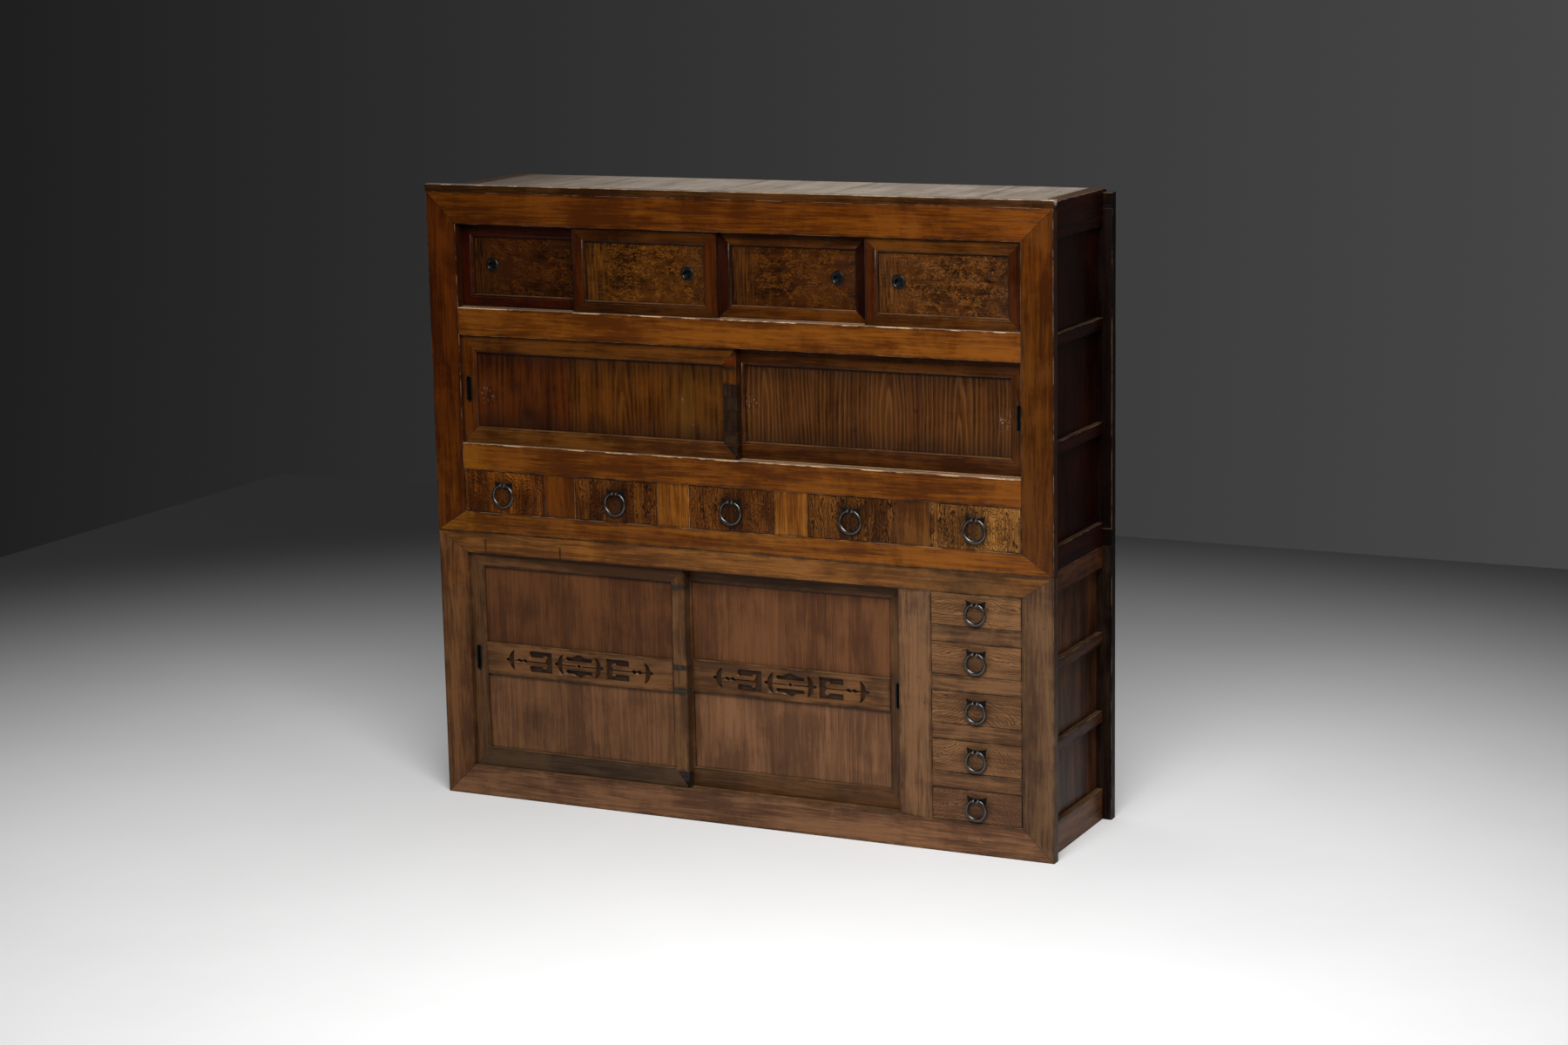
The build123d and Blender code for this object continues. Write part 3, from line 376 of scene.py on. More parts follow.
def toned(*spots):
    """Lighter or darker places: each spot is its centre and radius in metres, and what multiplies the
    wood's colour there."""
    def marks(g, colour, here):
        for centre, radius, tint in spots:
            place = near(g, here, centre, radius, 0.2)
            colour = g.mix(place, colour, g.mix(1.0, colour, tint, "MULTIPLY"))
        return colour
    return marks


def shaded_left(g, colour, here):
    """Painted shade: the top is darker towards its left end."""
    place = g.ramp(g.split(here)[0], -0.4, -0.86, 0.0, 0.75)
    return g.mix(place, colour, (0.05, 0.033, 0.022))


def all_of(*marks):
    """Several marks on one wood, the first lowest."""
    def apply(g, colour, here):
        for mark in marks:
            colour = mark(g, colour, here)
        return colour
    return apply


def iron(name, light=(0.16, 0.155, 0.15), dark=(0.06, 0.058, 0.056), metallic=1.0, smooth=0.22, gloss=0.5,
         eyes=False):
    """Forged iron, with painted shade in its recesses and arrises rubbed bright, partly as painted highlight.
    With eyes, what stands proud of a plate is rubbed bright.
    """
    g = Graph(name)
    here = g.add("TexCoord", out=3)
    hammer = g.noise(here, (260, 260, 260), 2.0, 0.5)
    scale = g.noise(here, (900, 900, 900), 4.0, 0.65)
    rubbed_highlight_colour, recess_shade_colour = tuple(c * 3.0 for c in light), tuple(c * 0.1 for c in dark)
    # Rubbed arrises are lightened, partly as painted highlight.
    rub_and_highlight = g.math("MULTIPLY", g.attribute("arris", 2), g.ramp(scale, 0.35, 0.6))
    colour = g.mix(g.ramp(scale, 0.35, 0.7), dark, light)
    colour = g.mix(g.math("MULTIPLY", rub_and_highlight, 0.6), colour, rubbed_highlight_colour)
    # Painted shade: ambient occlusion darkens the iron in its recesses, such as inside a cup.
    open_air = g.add("AmbientOcclusion", {"Distance": RECESS_REACH}, out=1, samples=5)
    colour = g.mix(g.ramp(open_air, 0.75, 0.3), colour, recess_shade_colour)
    rough = g.ramp(scale, 0.3, 0.75, smooth, smooth + 0.2)
    if eyes:
        proud = g.ramp(g.split(here)[1], FACE - 0.003, FACE - 0.006)
        colour = g.mix(proud, colour, (0.24, 0.235, 0.23))
        metallic = g.math("MAXIMUM", proud, metallic)
        rough = g.math("MULTIPLY_ADD", proud, -0.25, rough)
    normal = g.bump(g.math("MULTIPLY_ADD", scale, 0.3, hammer), 0.25 * MM)
    return g.finish(Base_Color=colour, Metallic=metallic, Roughness=rough, Normal=normal,
                    Specular_IOR_Level=gloss)


frame_rings = partial(growth_rings, gap=0.012, wander=0.06)
cedar_rings = partial(growth_rings, gap=0.0125, wander=0.03)
straight_rings = partial(growth_rings, gap=0.0115, wander=0.035, rise=0.4)
row_lines = partial(contours, size=0.042, rise=0.12, stretch=(0.42, 1, 1))
column_lines = partial(contours, size=0.06, rise=0.35, stretch=(0.55, 1, 1))

RIM_DIRT_AND_SHADE = {"rim": 1.5, "edge_dirt_and_shade": 0.4}        # panels, whose planks lie close together
SEAM = ((0, FACE, UPPER_LEVELS[0]), (1.0, 0.003, 0.0006))      # between the two cases
BAND_SHADE = ((0, FACE, 0.381), (1.0, 0.1, 0.038))                   # painted shade on the panels behind the pierced bands
PLUGS = (((-0.735, FACE, 0.694), (0.0015, 0.03, 0.015)),       # ends of the patch in the lower head rail
         ((-0.508, FACE, 0.686), (0.0015, 0.03, 0.016)))

# Colours are a wood's light and dark tone and its lines, or an iron's light and dark tone.
MATERIALS = {
    "upper_frame": wood(
        "upper_frame_wood", (0.136, 0.038, 0.003), (0.050, 0.0115, 0.001), (0.05, 0.012, 0.001), frame_rings,
        line_strength=0.18, specks=0.6, wear_and_highlight=0.85, wear_and_highlight_colour=(0.60, 0.41, 0.25),
        # Painted light: the first spot lightens the left stile towards its foot, as the rails lower down are
        # tinted lighter.
        marks=all_of(toned(((-0.835, FACE, 0.84), 0.22, (1.5, 1.8, 0.75)),
                           ((0.835, FACE, 1.5), 0.14, (1.18, 1.04, 0.9)),
                           ((0.05, FACE, 0.755), 0.18, (1.2, 1.35, 1.55)),
                           ((-0.55, FACE, 0.755), 0.1, (0.85, 0.86, 1.0))),
                     mitred(*UPPER_LEVELS), joints_and_shade(SEAM))),
    "nosing": wood(
        "nosing_wood", (0.058, 0.020, 0.003), (0.018, 0.006, 0.001), (0.02, 0.006, 0.001), frame_rings,
        line_strength=0.2, rim=1.5, recess_dirt_and_shade=0.0, wear_and_highlight=0.7, wear_and_highlight_colour=(0.52, 0.40, 0.29)),
    "lower_frame": wood(
        "lower_frame_wood", (0.156, 0.069, 0.021), (0.058, 0.023, 0.0067), (0.058, 0.022, 0.006), frame_rings,
        line_strength=0.18, roughness=0.36, specks=0.7,
        marks=all_of(toned(((0.64, FACE, 0.70), 0.27, (0.42, 0.5, 0.74)),
                           ((-0.42, FACE, 0.70), 0.22, (1.22, 1.14, 0.85)),
                           ((-0.835, FACE, 0.62), 0.1, (0.86, 0.72, 0.45)),
                           ((0.55, FACE, 0.04), 0.22, (1.14, 1.12, 1.1))),
                     mitred(*LOWER_LEVELS), joints_and_shade(*PLUGS, SEAM))),
    "side": wood(
        "side_wood", (0.020, 0.008, 0.004), (0.005, 0.002, 0.001), (0.004, 0.001, 0.001), cedar_rings,
        roughness=0.34, gloss=0.1, wear_and_highlight=0.55, wear_and_highlight_colour=(0.24, 0.14, 0.08)),
    "back": wood(
        "back_wood", (0.10, 0.055, 0.03), (0.04, 0.021, 0.012), (0.05, 0.026, 0.015), cedar_rings,
        roughness=0.7, edge_dirt_and_shade=0.4, wear_and_highlight=0.3),
    "inside": wood(
        "inside_wood", (0.16, 0.088, 0.045), (0.075, 0.04, 0.021), (0.09, 0.045, 0.024), cedar_rings,
        roughness=0.68, edge_dirt_and_shade=0.3, wear_and_highlight=0.3),
    "top": wood(
        "top_wood", (0.34, 0.285, 0.235), (0.20, 0.158, 0.123), (0.11, 0.08, 0.058), cedar_rings,
        line_strength=0.4, streak=0.3, blotch=0.4, roughness=0.5, wear_and_highlight_colour=(0.45, 0.38, 0.3),
        marks=shaded_left),
    "upper_door": wood(
        "upper_door_wood", (0.095, 0.029, 0.003), (0.032, 0.0085, 0.001), (0.03, 0.008, 0.001), frame_rings,
        line_strength=0.18, wear_and_highlight_colour=(0.36, 0.2, 0.09)),
    "lower_door": wood(
        "lower_door_wood", (0.110, 0.047, 0.0155), (0.042, 0.017, 0.0057), (0.04, 0.015, 0.005), frame_rings,
        line_strength=0.18, roughness=0.36),
    "left_cedar": wood(
        "middle_left_cedar", (0.088, 0.027, 0.0033), (0.028, 0.007, 0.001), (0.125, 0.050, 0.007),
        cedar_rings, line_strength=0.5, end_shade=0.55, **RIM_DIRT_AND_SHADE,
        marks=all_of(stained(((-0.64, -0.192, 1.12), 0.035), ((-0.60, -0.192, 1.05), 0.03)),
                     scratched(((-0.728, -0.192, 1.10), 0.036), ((-0.14, -0.192, 1.11), 0.012),
                               ((-0.118, -0.192, 1.045), 0.010)))),
    "right_cedar": wood(
        "middle_right_cedar", (0.090, 0.029, 0.005), (0.036, 0.0105, 0.002), (0.19, 0.085, 0.020),
        straight_rings, line_strength=0.6, end_shade=0.45, **RIM_DIRT_AND_SHADE,
        marks=all_of(stained(((0.495, -0.165, 1.112), 0.010), ((0.327, -0.165, 1.055), 0.007),
                             ((0.330, -0.165, 1.085), 0.006), strength=0.9),
                     scratched(((0.035, -0.165, 1.11), 0.036), ((0.732, -0.165, 1.10), 0.036)))),
    "lower_cedar": wood(
        "lower_panel_cedar", (0.126, 0.052, 0.022), (0.060, 0.023, 0.0095), (0.05, 0.019, 0.008), cedar_rings,
        line_strength=0.4, roughness=0.36, streak=0.5, **RIM_DIRT_AND_SHADE,
        marks=all_of(joints_and_shade(BAND_SHADE), stained(((-0.62, -0.19, 0.52), 0.06), ((-0.60, -0.19, 0.23), 0.07),
                                          ((0.1, -0.165, 0.16), 0.05), strength=0.4))),
    "burl": wood(
        "burl_panel_wood", (0.047, 0.015, 0.0016), (0.009, 0.0026, 0.0005), (0.180, 0.074, 0.012), curls,
        line_strength=0.85, streak=0.4, blotch=0.9, flame=0.3, end_shade=0.35, rim=2.0,
        marks=dark_bloom(CUPS, 0.7, radius=0.019)),
    "keyaki": wood(
        "drawer_keyaki", (0.205, 0.078, 0.012), (0.050, 0.015, 0.0015), (0.004, 0.0015, 0.0005), row_lines,
        line_strength=1.0, streak=0.4, rim=2.5, edge_dirt_and_shade=0.95, recess_dirt_and_shade=0.5, marks=dark_bloom(ROW_RINGS, 0.6)),
    "lower_keyaki": wood(
        "lower_drawer_keyaki", (0.215, 0.100, 0.038), (0.095, 0.041, 0.0145), (0.026, 0.009, 0.0035),
        column_lines, line_strength=0.8, streak=0.5, rim=2.5, edge_dirt_and_shade=0.95, roughness=0.36, recess_dirt_and_shade=0.5,
        marks=dark_bloom(COLUMN_RINGS, 0.45)),
    "iron": iron("forged_iron"),
    "cup_iron": iron("cup_iron", (0.045, 0.045, 0.044), (0.012, 0.012, 0.012), metallic=0.9, smooth=0.28),
    "plate_iron": iron("plate_iron", (0.006, 0.0055, 0.005), (0.003, 0.0028, 0.0026), metallic=0.0,
                       smooth=0.5, gloss=0.12, eyes=True),
}


# ======== Boards from the CAD solids ========
ALMOST_FLAT, SHARP = math.radians(0.6), math.radians(24)       # facets to join, and edges to round
AXIAL = 0.9                   # least cosine to an axis of an edge that is rounded
ARRIS_STEPS, ARRIS_PROFILE = 2, 0.55


def shells(node):
    """The closed solids of a CAD node, each a list of faces, and a face a list of whole-numbered grid
    points. A solid is closed when every edge so far has met its other face."""
    mesh, found, faces, rim = NODES[node].data, [], [], set()
    spots = [tuple(round(c * GRID) for c in v.co) for v in mesh.vertices]
    for polygon in mesh.polygons:
        corners = [spots[i] for i in polygon.vertices]
        if len(set(corners)) < 3:
            continue
        faces.append(corners)
        for edge in zip(corners, corners[1:] + corners[:1]):
            if edge[::-1] in rim:
                rim.discard(edge[::-1])
            else:
                rim.add(edge)
        if not rim:
            found.append(faces)
            faces = []
    return found


def limits(faces):
    """Lowest and highest corner of a solid, in millimetres."""
    points = [p for face in faces for p in face]
    return [tuple(pick(p[i] for p in points) / GRID / MM for i in range(3)) for pick in (min, max)]


def block(low, high):
    """The faces of a plain board between two corners in millimetres."""
    spots = [[round(c * MM * GRID) for c in corner] for corner in (low, high)]
    loops = (((0, 0, 0), (0, 1, 0), (1, 1, 0), (1, 0, 0)), ((0, 0, 1), (1, 0, 1), (1, 1, 1), (0, 1, 1)),
             ((0, 0, 0), (1, 0, 0), (1, 0, 1), (0, 0, 1)), ((0, 1, 0), (0, 1, 1), (1, 1, 1), (1, 1, 0)),
             ((0, 0, 0), (0, 0, 1), (0, 1, 1), (0, 1, 0)), ((1, 0, 0), (1, 1, 0), (1, 1, 1), (1, 0, 1)))
    return [[(spots[i][0], spots[j][1], spots[k][2]) for i, j, k in loop] for loop in loops]


def joined(faces, scale=1.0):
    """A bmesh of a solid, whose faces share their corners. scale is how many of its units make one."""
    bm, spots = bmesh.new(), {}
    for corners in faces:
        for spot in corners:
            if spot not in spots:
                spots[spot] = bm.verts.new([c / scale for c in spot])
        bm.faces.new([spots[spot] for spot in corners])
    return bm


def runs_along_axis(edge):
    run = (edge.verts[1].co - edge.verts[0].co).normalized()
    return max(abs(c) for c in run) > AXIAL


class Piece:
    """One visible piece, gathered board by board, with each board's grain, size, and wear with painted
    highlight as attributes.
    """

    def __init__(self, name):
        self.name, self.materials = name, []
        self.points, self.faces, self.slots = [], [], []
        self.values = {key: [] for key in ("grain", "span", "half", "figure", "tint")}
        self.tone, self.worn, self.arris = [], [], []

    def board(self, faces, material, arris=1.0, through=None, along=None, figure=None, tint=(1, 1, 1),
              worn=0.0, shape=None):
        """Adds a solid with arrises rounded by so many millimetres. through and along are the axes that the
        board's thickness and grain follow, the rubbing option says how far its upper edge is rubbed and
        painted with a highlight and its upward faces painted lighter, and shape is a function that changes
        the mesh first."""
        seed = Random(f"{self.name} {len(self.faces)}")
        bm = joined(faces, GRID)
        bmesh.ops.dissolve_limit(bm, angle_limit=ALMOST_FLAT, verts=bm.verts, edges=bm.edges)
        bmesh.ops.recalc_face_normals(bm, faces=bm.faces)
        sharp = [e for e in bm.edges
                 if len(e.link_faces) == 2 and e.calc_face_angle(0) > SHARP and runs_along_axis(e)]
        rounded = set()
        if shape:
            shape(bm)
        if arris:
            made = bmesh.ops.bevel(bm, geom=sharp, offset=arris * MM, offset_type="OFFSET",
                                   segments=ARRIS_STEPS, profile=ARRIS_PROFILE, affect="EDGES",
                                   clamp_overlap=True)
            rounded = set(made["faces"])
        low, high = limits(faces)
        size = [b - a for a, b in zip(low, high)]
        order = sorted(range(3), key=lambda i: -size[i])
        if through is not None:
            order = [i for i in order if i != through] + [through]
        if along is not None:
            order = [along] + [i for i in order if i != along]
        middle = Vector([(a + b) / 2 * MM for a, b in zip(low, high)])
        half = Vector([size[i] / 2 * MM for i in order])
        offset = Vector([seed.uniform(-40, 40) for _ in range(3)])
        if figure is None:
            figure = (seed.uniform(-0.6, 0.6) * half[1], seed.choice((-1, 1)) * seed.uniform(0.01, 0.03),
                      seed.uniform(0.02, 0.09))
        tone = seed.uniform(-0.07, 0.07)
        if material not in self.materials:
            self.materials.append(material)
        base, material_index = len(self.points), self.materials.index(material)
        bm.verts.index_update()
        for vert in bm.verts:
            span = Vector([(vert.co - middle)[i] for i in order])
            self.points.append(vert.co.copy())
            self.values["span"].append(span)
            self.values["grain"].append(span + offset)
            self.values["half"].append(half)
            self.values["figure"].append(Vector(figure))
            self.values["tint"].append(Vector(tint))
            self.tone.append(tone)
            self.worn.append(worn)
        for face in bm.faces:
            self.faces.append([base + v.index for v in face.verts])
            self.slots.append(material_index)
            longest = max(face.edges, key=lambda edge: edge.calc_length())
            run = (longest.verts[1].co - longest.verts[0].co).normalized()
            self.arris.append(1.0 if face in rounded and abs(run[order[0]]) > 0.99 else 0.0)
        bm.free()

    def build(self, body, slot, *nodes):
        mesh = bpy.data.meshes.new(self.name)
        mesh.from_pydata([tuple(p) for p in self.points], [], self.faces)
        for material in self.materials:
            mesh.materials.append(MATERIALS[material])
        mesh.polygons.foreach_set("material_index", self.slots)
        mesh.polygons.foreach_set("use_smooth", [True] * len(self.faces))
        for key, vectors in self.values.items():
            mesh.attributes.new(key, "FLOAT_VECTOR", "POINT").data.foreach_set(
                "vector", [c for vector in vectors for c in vector])
        mesh.attributes.new("tone", "FLOAT", "POINT").data.foreach_set("value", self.tone)
        mesh.attributes.new("worn", "FLOAT", "POINT").data.foreach_set("value", self.worn)
        mesh.attributes.new("arris", "FLOAT", "FACE").data.foreach_set("value", self.arris)
        mesh.validate()
        piece = bpy.data.objects.new(self.name, mesh)
        bpy.context.scene.collection.objects.link(piece)
        weigh = piece.modifiers.new("weigh", "WEIGHTED_NORMAL")
        weigh.weight, weigh.keep_sharp = 80, False
        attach(piece, body)
        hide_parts(*nodes)


def plain_piece(node, material, slot, each=None, **options):
    """A CAD node board by board. each gives a board's own options from its lowest and highest corner."""
    piece = Piece(f"{node}_boards")
    for faces in shells(node):
        own = each(*limits(faces)) if each else {}
        piece.board(faces, **{"material": material, **options, **own})
    piece.build(BODY_OF[node], slot, node)


def sawn(faces, levels):
    """Saws a solid at heights in millimetres, and gives the faces of its parts from the bottom up."""
    parts = []
    for low, high in zip([None, *levels], [*levels, None]):
        bm = joined(faces)
        for level, way in ((low, -1), (high, 1)):
            if level is not None:
                cut = bmesh.ops.bisect_plane(bm, geom=[*bm.verts, *bm.edges, *bm.faces], clear_outer=True,
                                             plane_co=(0, 0, level * MM * GRID), plane_no=(0, 0, way))
                rim = [e for e in cut["geom_cut"] if isinstance(e, bmesh.types.BMEdge)]
                bmesh.ops.contextual_create(bm, geom=rim)
        parts.append([[tuple(round(c) for c in v.co) for v in face.verts] for face in bm.faces])
        bm.free()
    return parts


# ---- Carcase ----
# Members are told apart by their boxes in millimetres. A tint multiplies a board's colour.
STILE_TALL, POST_TALL, RAIL_LONG = 600, 400, 200      # stiles and posts are taller than this, rails longer
DIVIDER_TINTS = ((0.84, 0.78, 0.4), (1.82, 2.2, 2.3), (1.8, 2.2, 2.7), (0.9, 1.15, 2.1))    # from the left
# Painted light: the lower case's sides are tinted far lighter than the upper case's, for light bounced up
# from the floor.
SIDE_TINTS = {"upper": (1.25, 0.45, 0.18), "lower": (5.0, 4.5, 3.5)}


# Painted light: the upper frame's tints grow lighter from the head rail down to the base rail.
def upper_member(low, high):
    between_dividers = (-300, 0, 300)
    base_below, head_above = 750, 1500
    if high[2] - low[2] > STILE_TALL:
        return {"tint": (0.58, 0.44, 0.08) if low[0] < 0 else (0.56, 0.58, 0.44)}
    if low[2] > head_above:
        return {"tint": (0.84, 0.79, 0.42)}
    if high[0] - low[0] < RAIL_LONG:
        return {"tint": DIVIDER_TINTS[sum(low[0] > x for x in between_dividers)]}
    if low[2] < base_below:
        return {"tint": (1.32, 1.47, 1.6), "worn": 0.15}
    return {"tint": (1.15, 1.2, 1.1), "worn": 1.0}


def lower_member(low, high):
    base_below, head_above, head_near = 50, 600, 650
    if high[2] - low[2] > STILE_TALL:
        tint = (1.02, 0.93, 0.94) if low[0] < 0 else (0.86, 0.96, 1.35)
    elif high[2] - low[2] > POST_TALL:
        tint = (1.11, 1.2, 1.68)
    elif low[2] > head_above:
        tint = (1.29, 1.11, 0.74)
    elif low[2] > base_below:
        tint = (1.12, 1.18, 1.5)
    else:
        tint = (1.27, 1.32, 1.9)
    return {"tint": tint, "worn": 0.5 if high[0] - low[0] > RAIL_LONG and low[2] < head_near else 0.0}


def side_member(low, high):
    """The base rails of the lower case's sides are the palest, as painted light bounced up from the floor.
    The other members have their case's tint.
    """
    base_top = 120
    return {"tint": (9.0, 9.0, 7.0)} if high[2] < base_top else {}


def back_member(low, high):
    """The outer back posts stand past the sides, are seen from the front, and have the sides' wood."""
    sides_at, upper_above = 837, 700
    if max(-low[0], high[0]) <= sides_at:
        return {}
    return {"material": "side", "tint": (0.3, 0.27, 0.26) if low[2] > upper_above else (1.1, 1.4, 1.7),
            "worn": 0.5}


def chipped(bm):
    """Breaks the nosing's long front arris: small chips and dents, always inward."""
    cuts, chip_height, chip_depth, deepest = 420, 0.006, 0.007, 1.4
    runs = [e for e in bm.edges if abs(e.verts[1].co.x - e.verts[0].co.x) > 0.1]
    bmesh.ops.subdivide_edges(bm, edges=runs, cuts=cuts, use_grid_fill=True)
    top = max(v.co.z for v in bm.verts)
    for v in bm.verts:
        near_top = min(1, max(0, 1 - (top - v.co.z) / chip_height))
        near_arris = near_top * min(1, max(0, 1 - (v.co.y - FACE) / chip_depth))
        if near_arris > 0:
            dent = max(0, noise.noise(Vector((v.co.x * 22, 3, 7))) - 0.22) * 2.0
            nick = max(0, noise.noise(Vector((v.co.x * 110, 9, 1))) - 0.10) * 2.2
            depth = min(deepest, dent + nick + 0.15) * near_arris * MM
            v.co.y += depth
            v.co.z -= depth * 0.7


plain_piece("upper_front_frame", "upper_frame", "upper_frame_wood", upper_member, arris=1.1, through=Y)
plain_piece("lower_front_frame", "lower_frame", "lower_frame_wood", lower_member, arris=1.1, through=Y)
plain_piece("top_nosing", "nosing", "upper_frame_wood", arris=0, through=Y, shape=chipped, worn=1.0)
for side in ("left", "right"):
    for case in ("lower", "upper"):
        plain_piece(f"{case}_{side}_side_frame", "side", "side_wood", side_member, arris=1.3, through=X,
                    worn=0.8, tint=SIDE_TINTS[case])
for case in ("lower", "upper"):
    plain_piece(f"{case}_side_panels", "side", "side_wood", arris=0.4, through=X, along=Z,
                tint=SIDE_TINTS[case])
    plain_piece(f"{case}_back", "back", "back_wood", back_member, arris=0.8, through=Y)
    plain_piece(f"{case}_inside", "inside", "inside_wood", arris=0.6)
plain_piece("top_boards", "top", "top_wood", arris=1.0, through=Z, along=Y)


# ---- Doors ----
NO_TINT = (1, 1, 1)


def planks(piece, low, high, material, rows, hearts, tints):
    """A panel as upright planks. A row is its foot and top, the planks' seams and what multiplies their tint,
    hearts are the arches of their grain, each its place, slope and depth, and tints go round the planks."""
    for foot, top, seams, row_tint in rows:
        edges = [low[0], *seams, high[0]]
        for index, (left, right) in enumerate(zip(edges, edges[1:])):
            figure = None
            for heart, slope, depth in hearts:
                if left <= heart < right:
                    figure = ((heart - (left + right) / 2) * MM, slope, depth * MM)
            tint = [a * b for a, b in zip(tints[index % len(tints)], row_tint)]
            piece.board(block((left, low[1], foot), (right, high[1], top)), material, arris=0.3, through=Y,
                        along=Z, figure=figure, tint=tint)


def repaired(piece, faces, material, levels, tints):
    """A stile with blocks let in: the heights at which it is sawn, and the tints of its parts."""
    thin = 8
    for part, tint in zip(sawn(faces, levels), tints):
        low, high = limits(part)
        piece.board(part, material, arris=0.0 if high[2] - low[2] < thin else 0.45, through=Y, along=Z,
                    tint=tint)


def door(node, frame_material, panel_material, slot, seams=(), low_seams=(), hearts=(), band_z=None,
         tint=NO_TINT, stile_tint=None, foot_tint=None, panel_tints=(NO_TINT,), low_tint=NO_TINT,
         repairs=None):
    """Members, panel planks and pierced band of a door. seams are the planks' edges, low_seams those under
    the band, and repairs the blocks let into the meeting stile that stands at their x."""
    stile_wide, foot_high, band_thick = 60, 60, 10
    piece = Piece(f"{node}_wood")
    solids = shells(node)
    panel_face = max(limits(faces)[0][1] for faces in solids)
    foot = min(limits(faces)[0][2] for faces in solids)
    for faces in solids:
        low, high = limits(faces)
        wide, thick, tall = (b - a for a, b in zip(low, high))
        if low[1] >= panel_face - 1:
            if seams:
                rows = [(low[2], high[2], seams, NO_TINT)]
                if band_z:
                    rows = [(low[2], band_z, low_seams, low_tint), (band_z, high[2], seams, NO_TINT)]
                planks(piece, low, high, panel_material, rows, hearts, panel_tints)
            else:
                piece.board(faces, panel_material, arris=0.3, through=Y, tint=panel_tints[0])
        elif repairs and wide < stile_wide and low[0] < repairs[0] < high[0]:
            repaired(piece, faces, frame_material, *repairs[1:])
        else:
            upright, is_band = tall > wide, thick < band_thick
            own = stile_tint if upright and stile_tint else tint
            if is_band:
                own = [c * 1.35 for c in own]
            elif foot_tint and not upright and high[2] < foot + foot_high:
                own = foot_tint
            piece.board(faces, frame_material, arris=0.35 if is_band else 0.45, through=Y, tint=own,
                        worn=0.1 if upright else 0.6)
    piece.build(BODY_OF[node], slot, node)


GREY, RED, DARK, FOOT = (0.33, 0.55, 2.0), (0.5, 0.5, 1.0), (0.3, 0.48, 1.8), (0.36, 0.85, 4.5)
YELLOW, DULL, PALE = (1.3, 1.4, 1.5), (0.42, 0.8, 1.5), (1.1, 1.1, 1.1)
# Doors 1 and 3 stand at the back of the recess. Door 1's tints are darker, partly as painted shade of the
# recess, and door 3's stile tint paints the shadow that door 2 casts on it.
SMALL_TINTS = {1: (0.37, 0.16, 0.17), 2: (0.45, 0.41, 0.27), 3: (0.9, 0.8, 0.43), 4: (0.84, 0.84, 0.48)}
STILE_TINTS = {1: (0.33, 0.15, 0.15), 2: (0.56, 0.36, 0.07), 3: (0.18, 0.08, 0.02), 4: (0.42, 0.28, 0.08)}
PANEL_TINTS = {1: (0.46, 0.31, 0.15), 2: (0.9, 0.74, 0.44), 3: (0.64, 0.48, 0.24), 4: (0.86, 0.74, 0.75)}
for number in SMALL_DOORS:
    door(f"small_door_{number}", "upper_door", "burl", "upper_door_wood", tint=SMALL_TINTS[number],
         stile_tint=STILE_TINTS[number], panel_tints=(PANEL_TINTS[number],))
door("middle_door_left", "upper_door", "left_cedar", "upper_door_wood", seams=(-478, -191),
     hearts=((-318, 0.10, 12),), tint=(0.95, 0.95, 0.9), stile_tint=(0.84, 0.64, 0.1),
     foot_tint=(1.12, 1.2, 1.3), panel_tints=((0.66, 0.44, 0.28), (0.87, 0.77, 0.46), (0.77, 0.77, 0.52)),
     repairs=(-3, (983, 1000, 1004, 1032, 1036, 1090, 1094, 1127, 1160, 1200, 1204, 1236),
              (FOOT, GREY, PALE, GREY, PALE, DARK, RED, DARK, GREY, PALE, RED, (1.3, 0.9, 0.6), RED)))
door("middle_door_right", "upper_door", "right_cedar", "upper_door_wood", seams=(212, 545),
     hearts=((75, 0.08, 10), (415, 0.12, 12), (613, 0.10, 14)), tint=(0.75, 0.7, 0.6),
     panel_tints=((0.61, 0.56, 0.52),))
door("lower_door_left", "lower_door", "lower_cedar", "lower_door_wood", seams=(-558, -232),
     low_seams=(-685, -458, -232), band_z=381, panel_tints=((0.9, 0.79, 0.56),), low_tint=(1.4, 1.68, 2.2),
     foot_tint=(0.62, 0.75, 1.0),
     repairs=(-169, (113, 125, 336, 350, 400, 412, 616, 624),
              (DULL, GREY, YELLOW, DULL, YELLOW, DULL, YELLOW, DULL, YELLOW)))
door("lower_door_right", "lower_door", "lower_cedar", "lower_door_wood", seams=(-62, 68, 255, 302),
     low_seams=(36, 148, 300), band_z=381, panel_tints=((1.09, 1.01, 0.82),), low_tint=(1.42, 1.68, 2.1))


# ---- Drawers, plates and cups ----
RING_SIZES = {"row": 65.0, "column": 59.0}            # outer diameters in millimetres
FIGURES = {                   # lines to a metre across and along each front, and their swirl
    "row_drawer_1": (120, 110, 12), "row_drawer_2": (130, 16, 14), "row_drawer_3": (120, 12, 16),
    "row_drawer_4": (140, 8, 13), "row_drawer_5": (120, 30, 17), "column_drawer_1": (180, 24, 8),
    "column_drawer_2": (190, 20, 7), "column_drawer_3": (150, 60, 9), "column_drawer_4": (150, 95, 9),
    "column_drawer_5": (160, 80, 9)}
FRONT_TINTS = {
    "row_drawer_1": (1.2, 0.9, 0.42), "row_drawer_2": (0.8, 0.63, 0.4), "row_drawer_3": (0.76, 0.6, 0.35),
    "row_drawer_4": (0.78, 0.68, 0.45), "row_drawer_5": (1.4, 1.52, 1.9),
    "column_drawer_1": (1.05, 1.06, 1.0), "column_drawer_5": (0.97, 0.94, 1.04)}


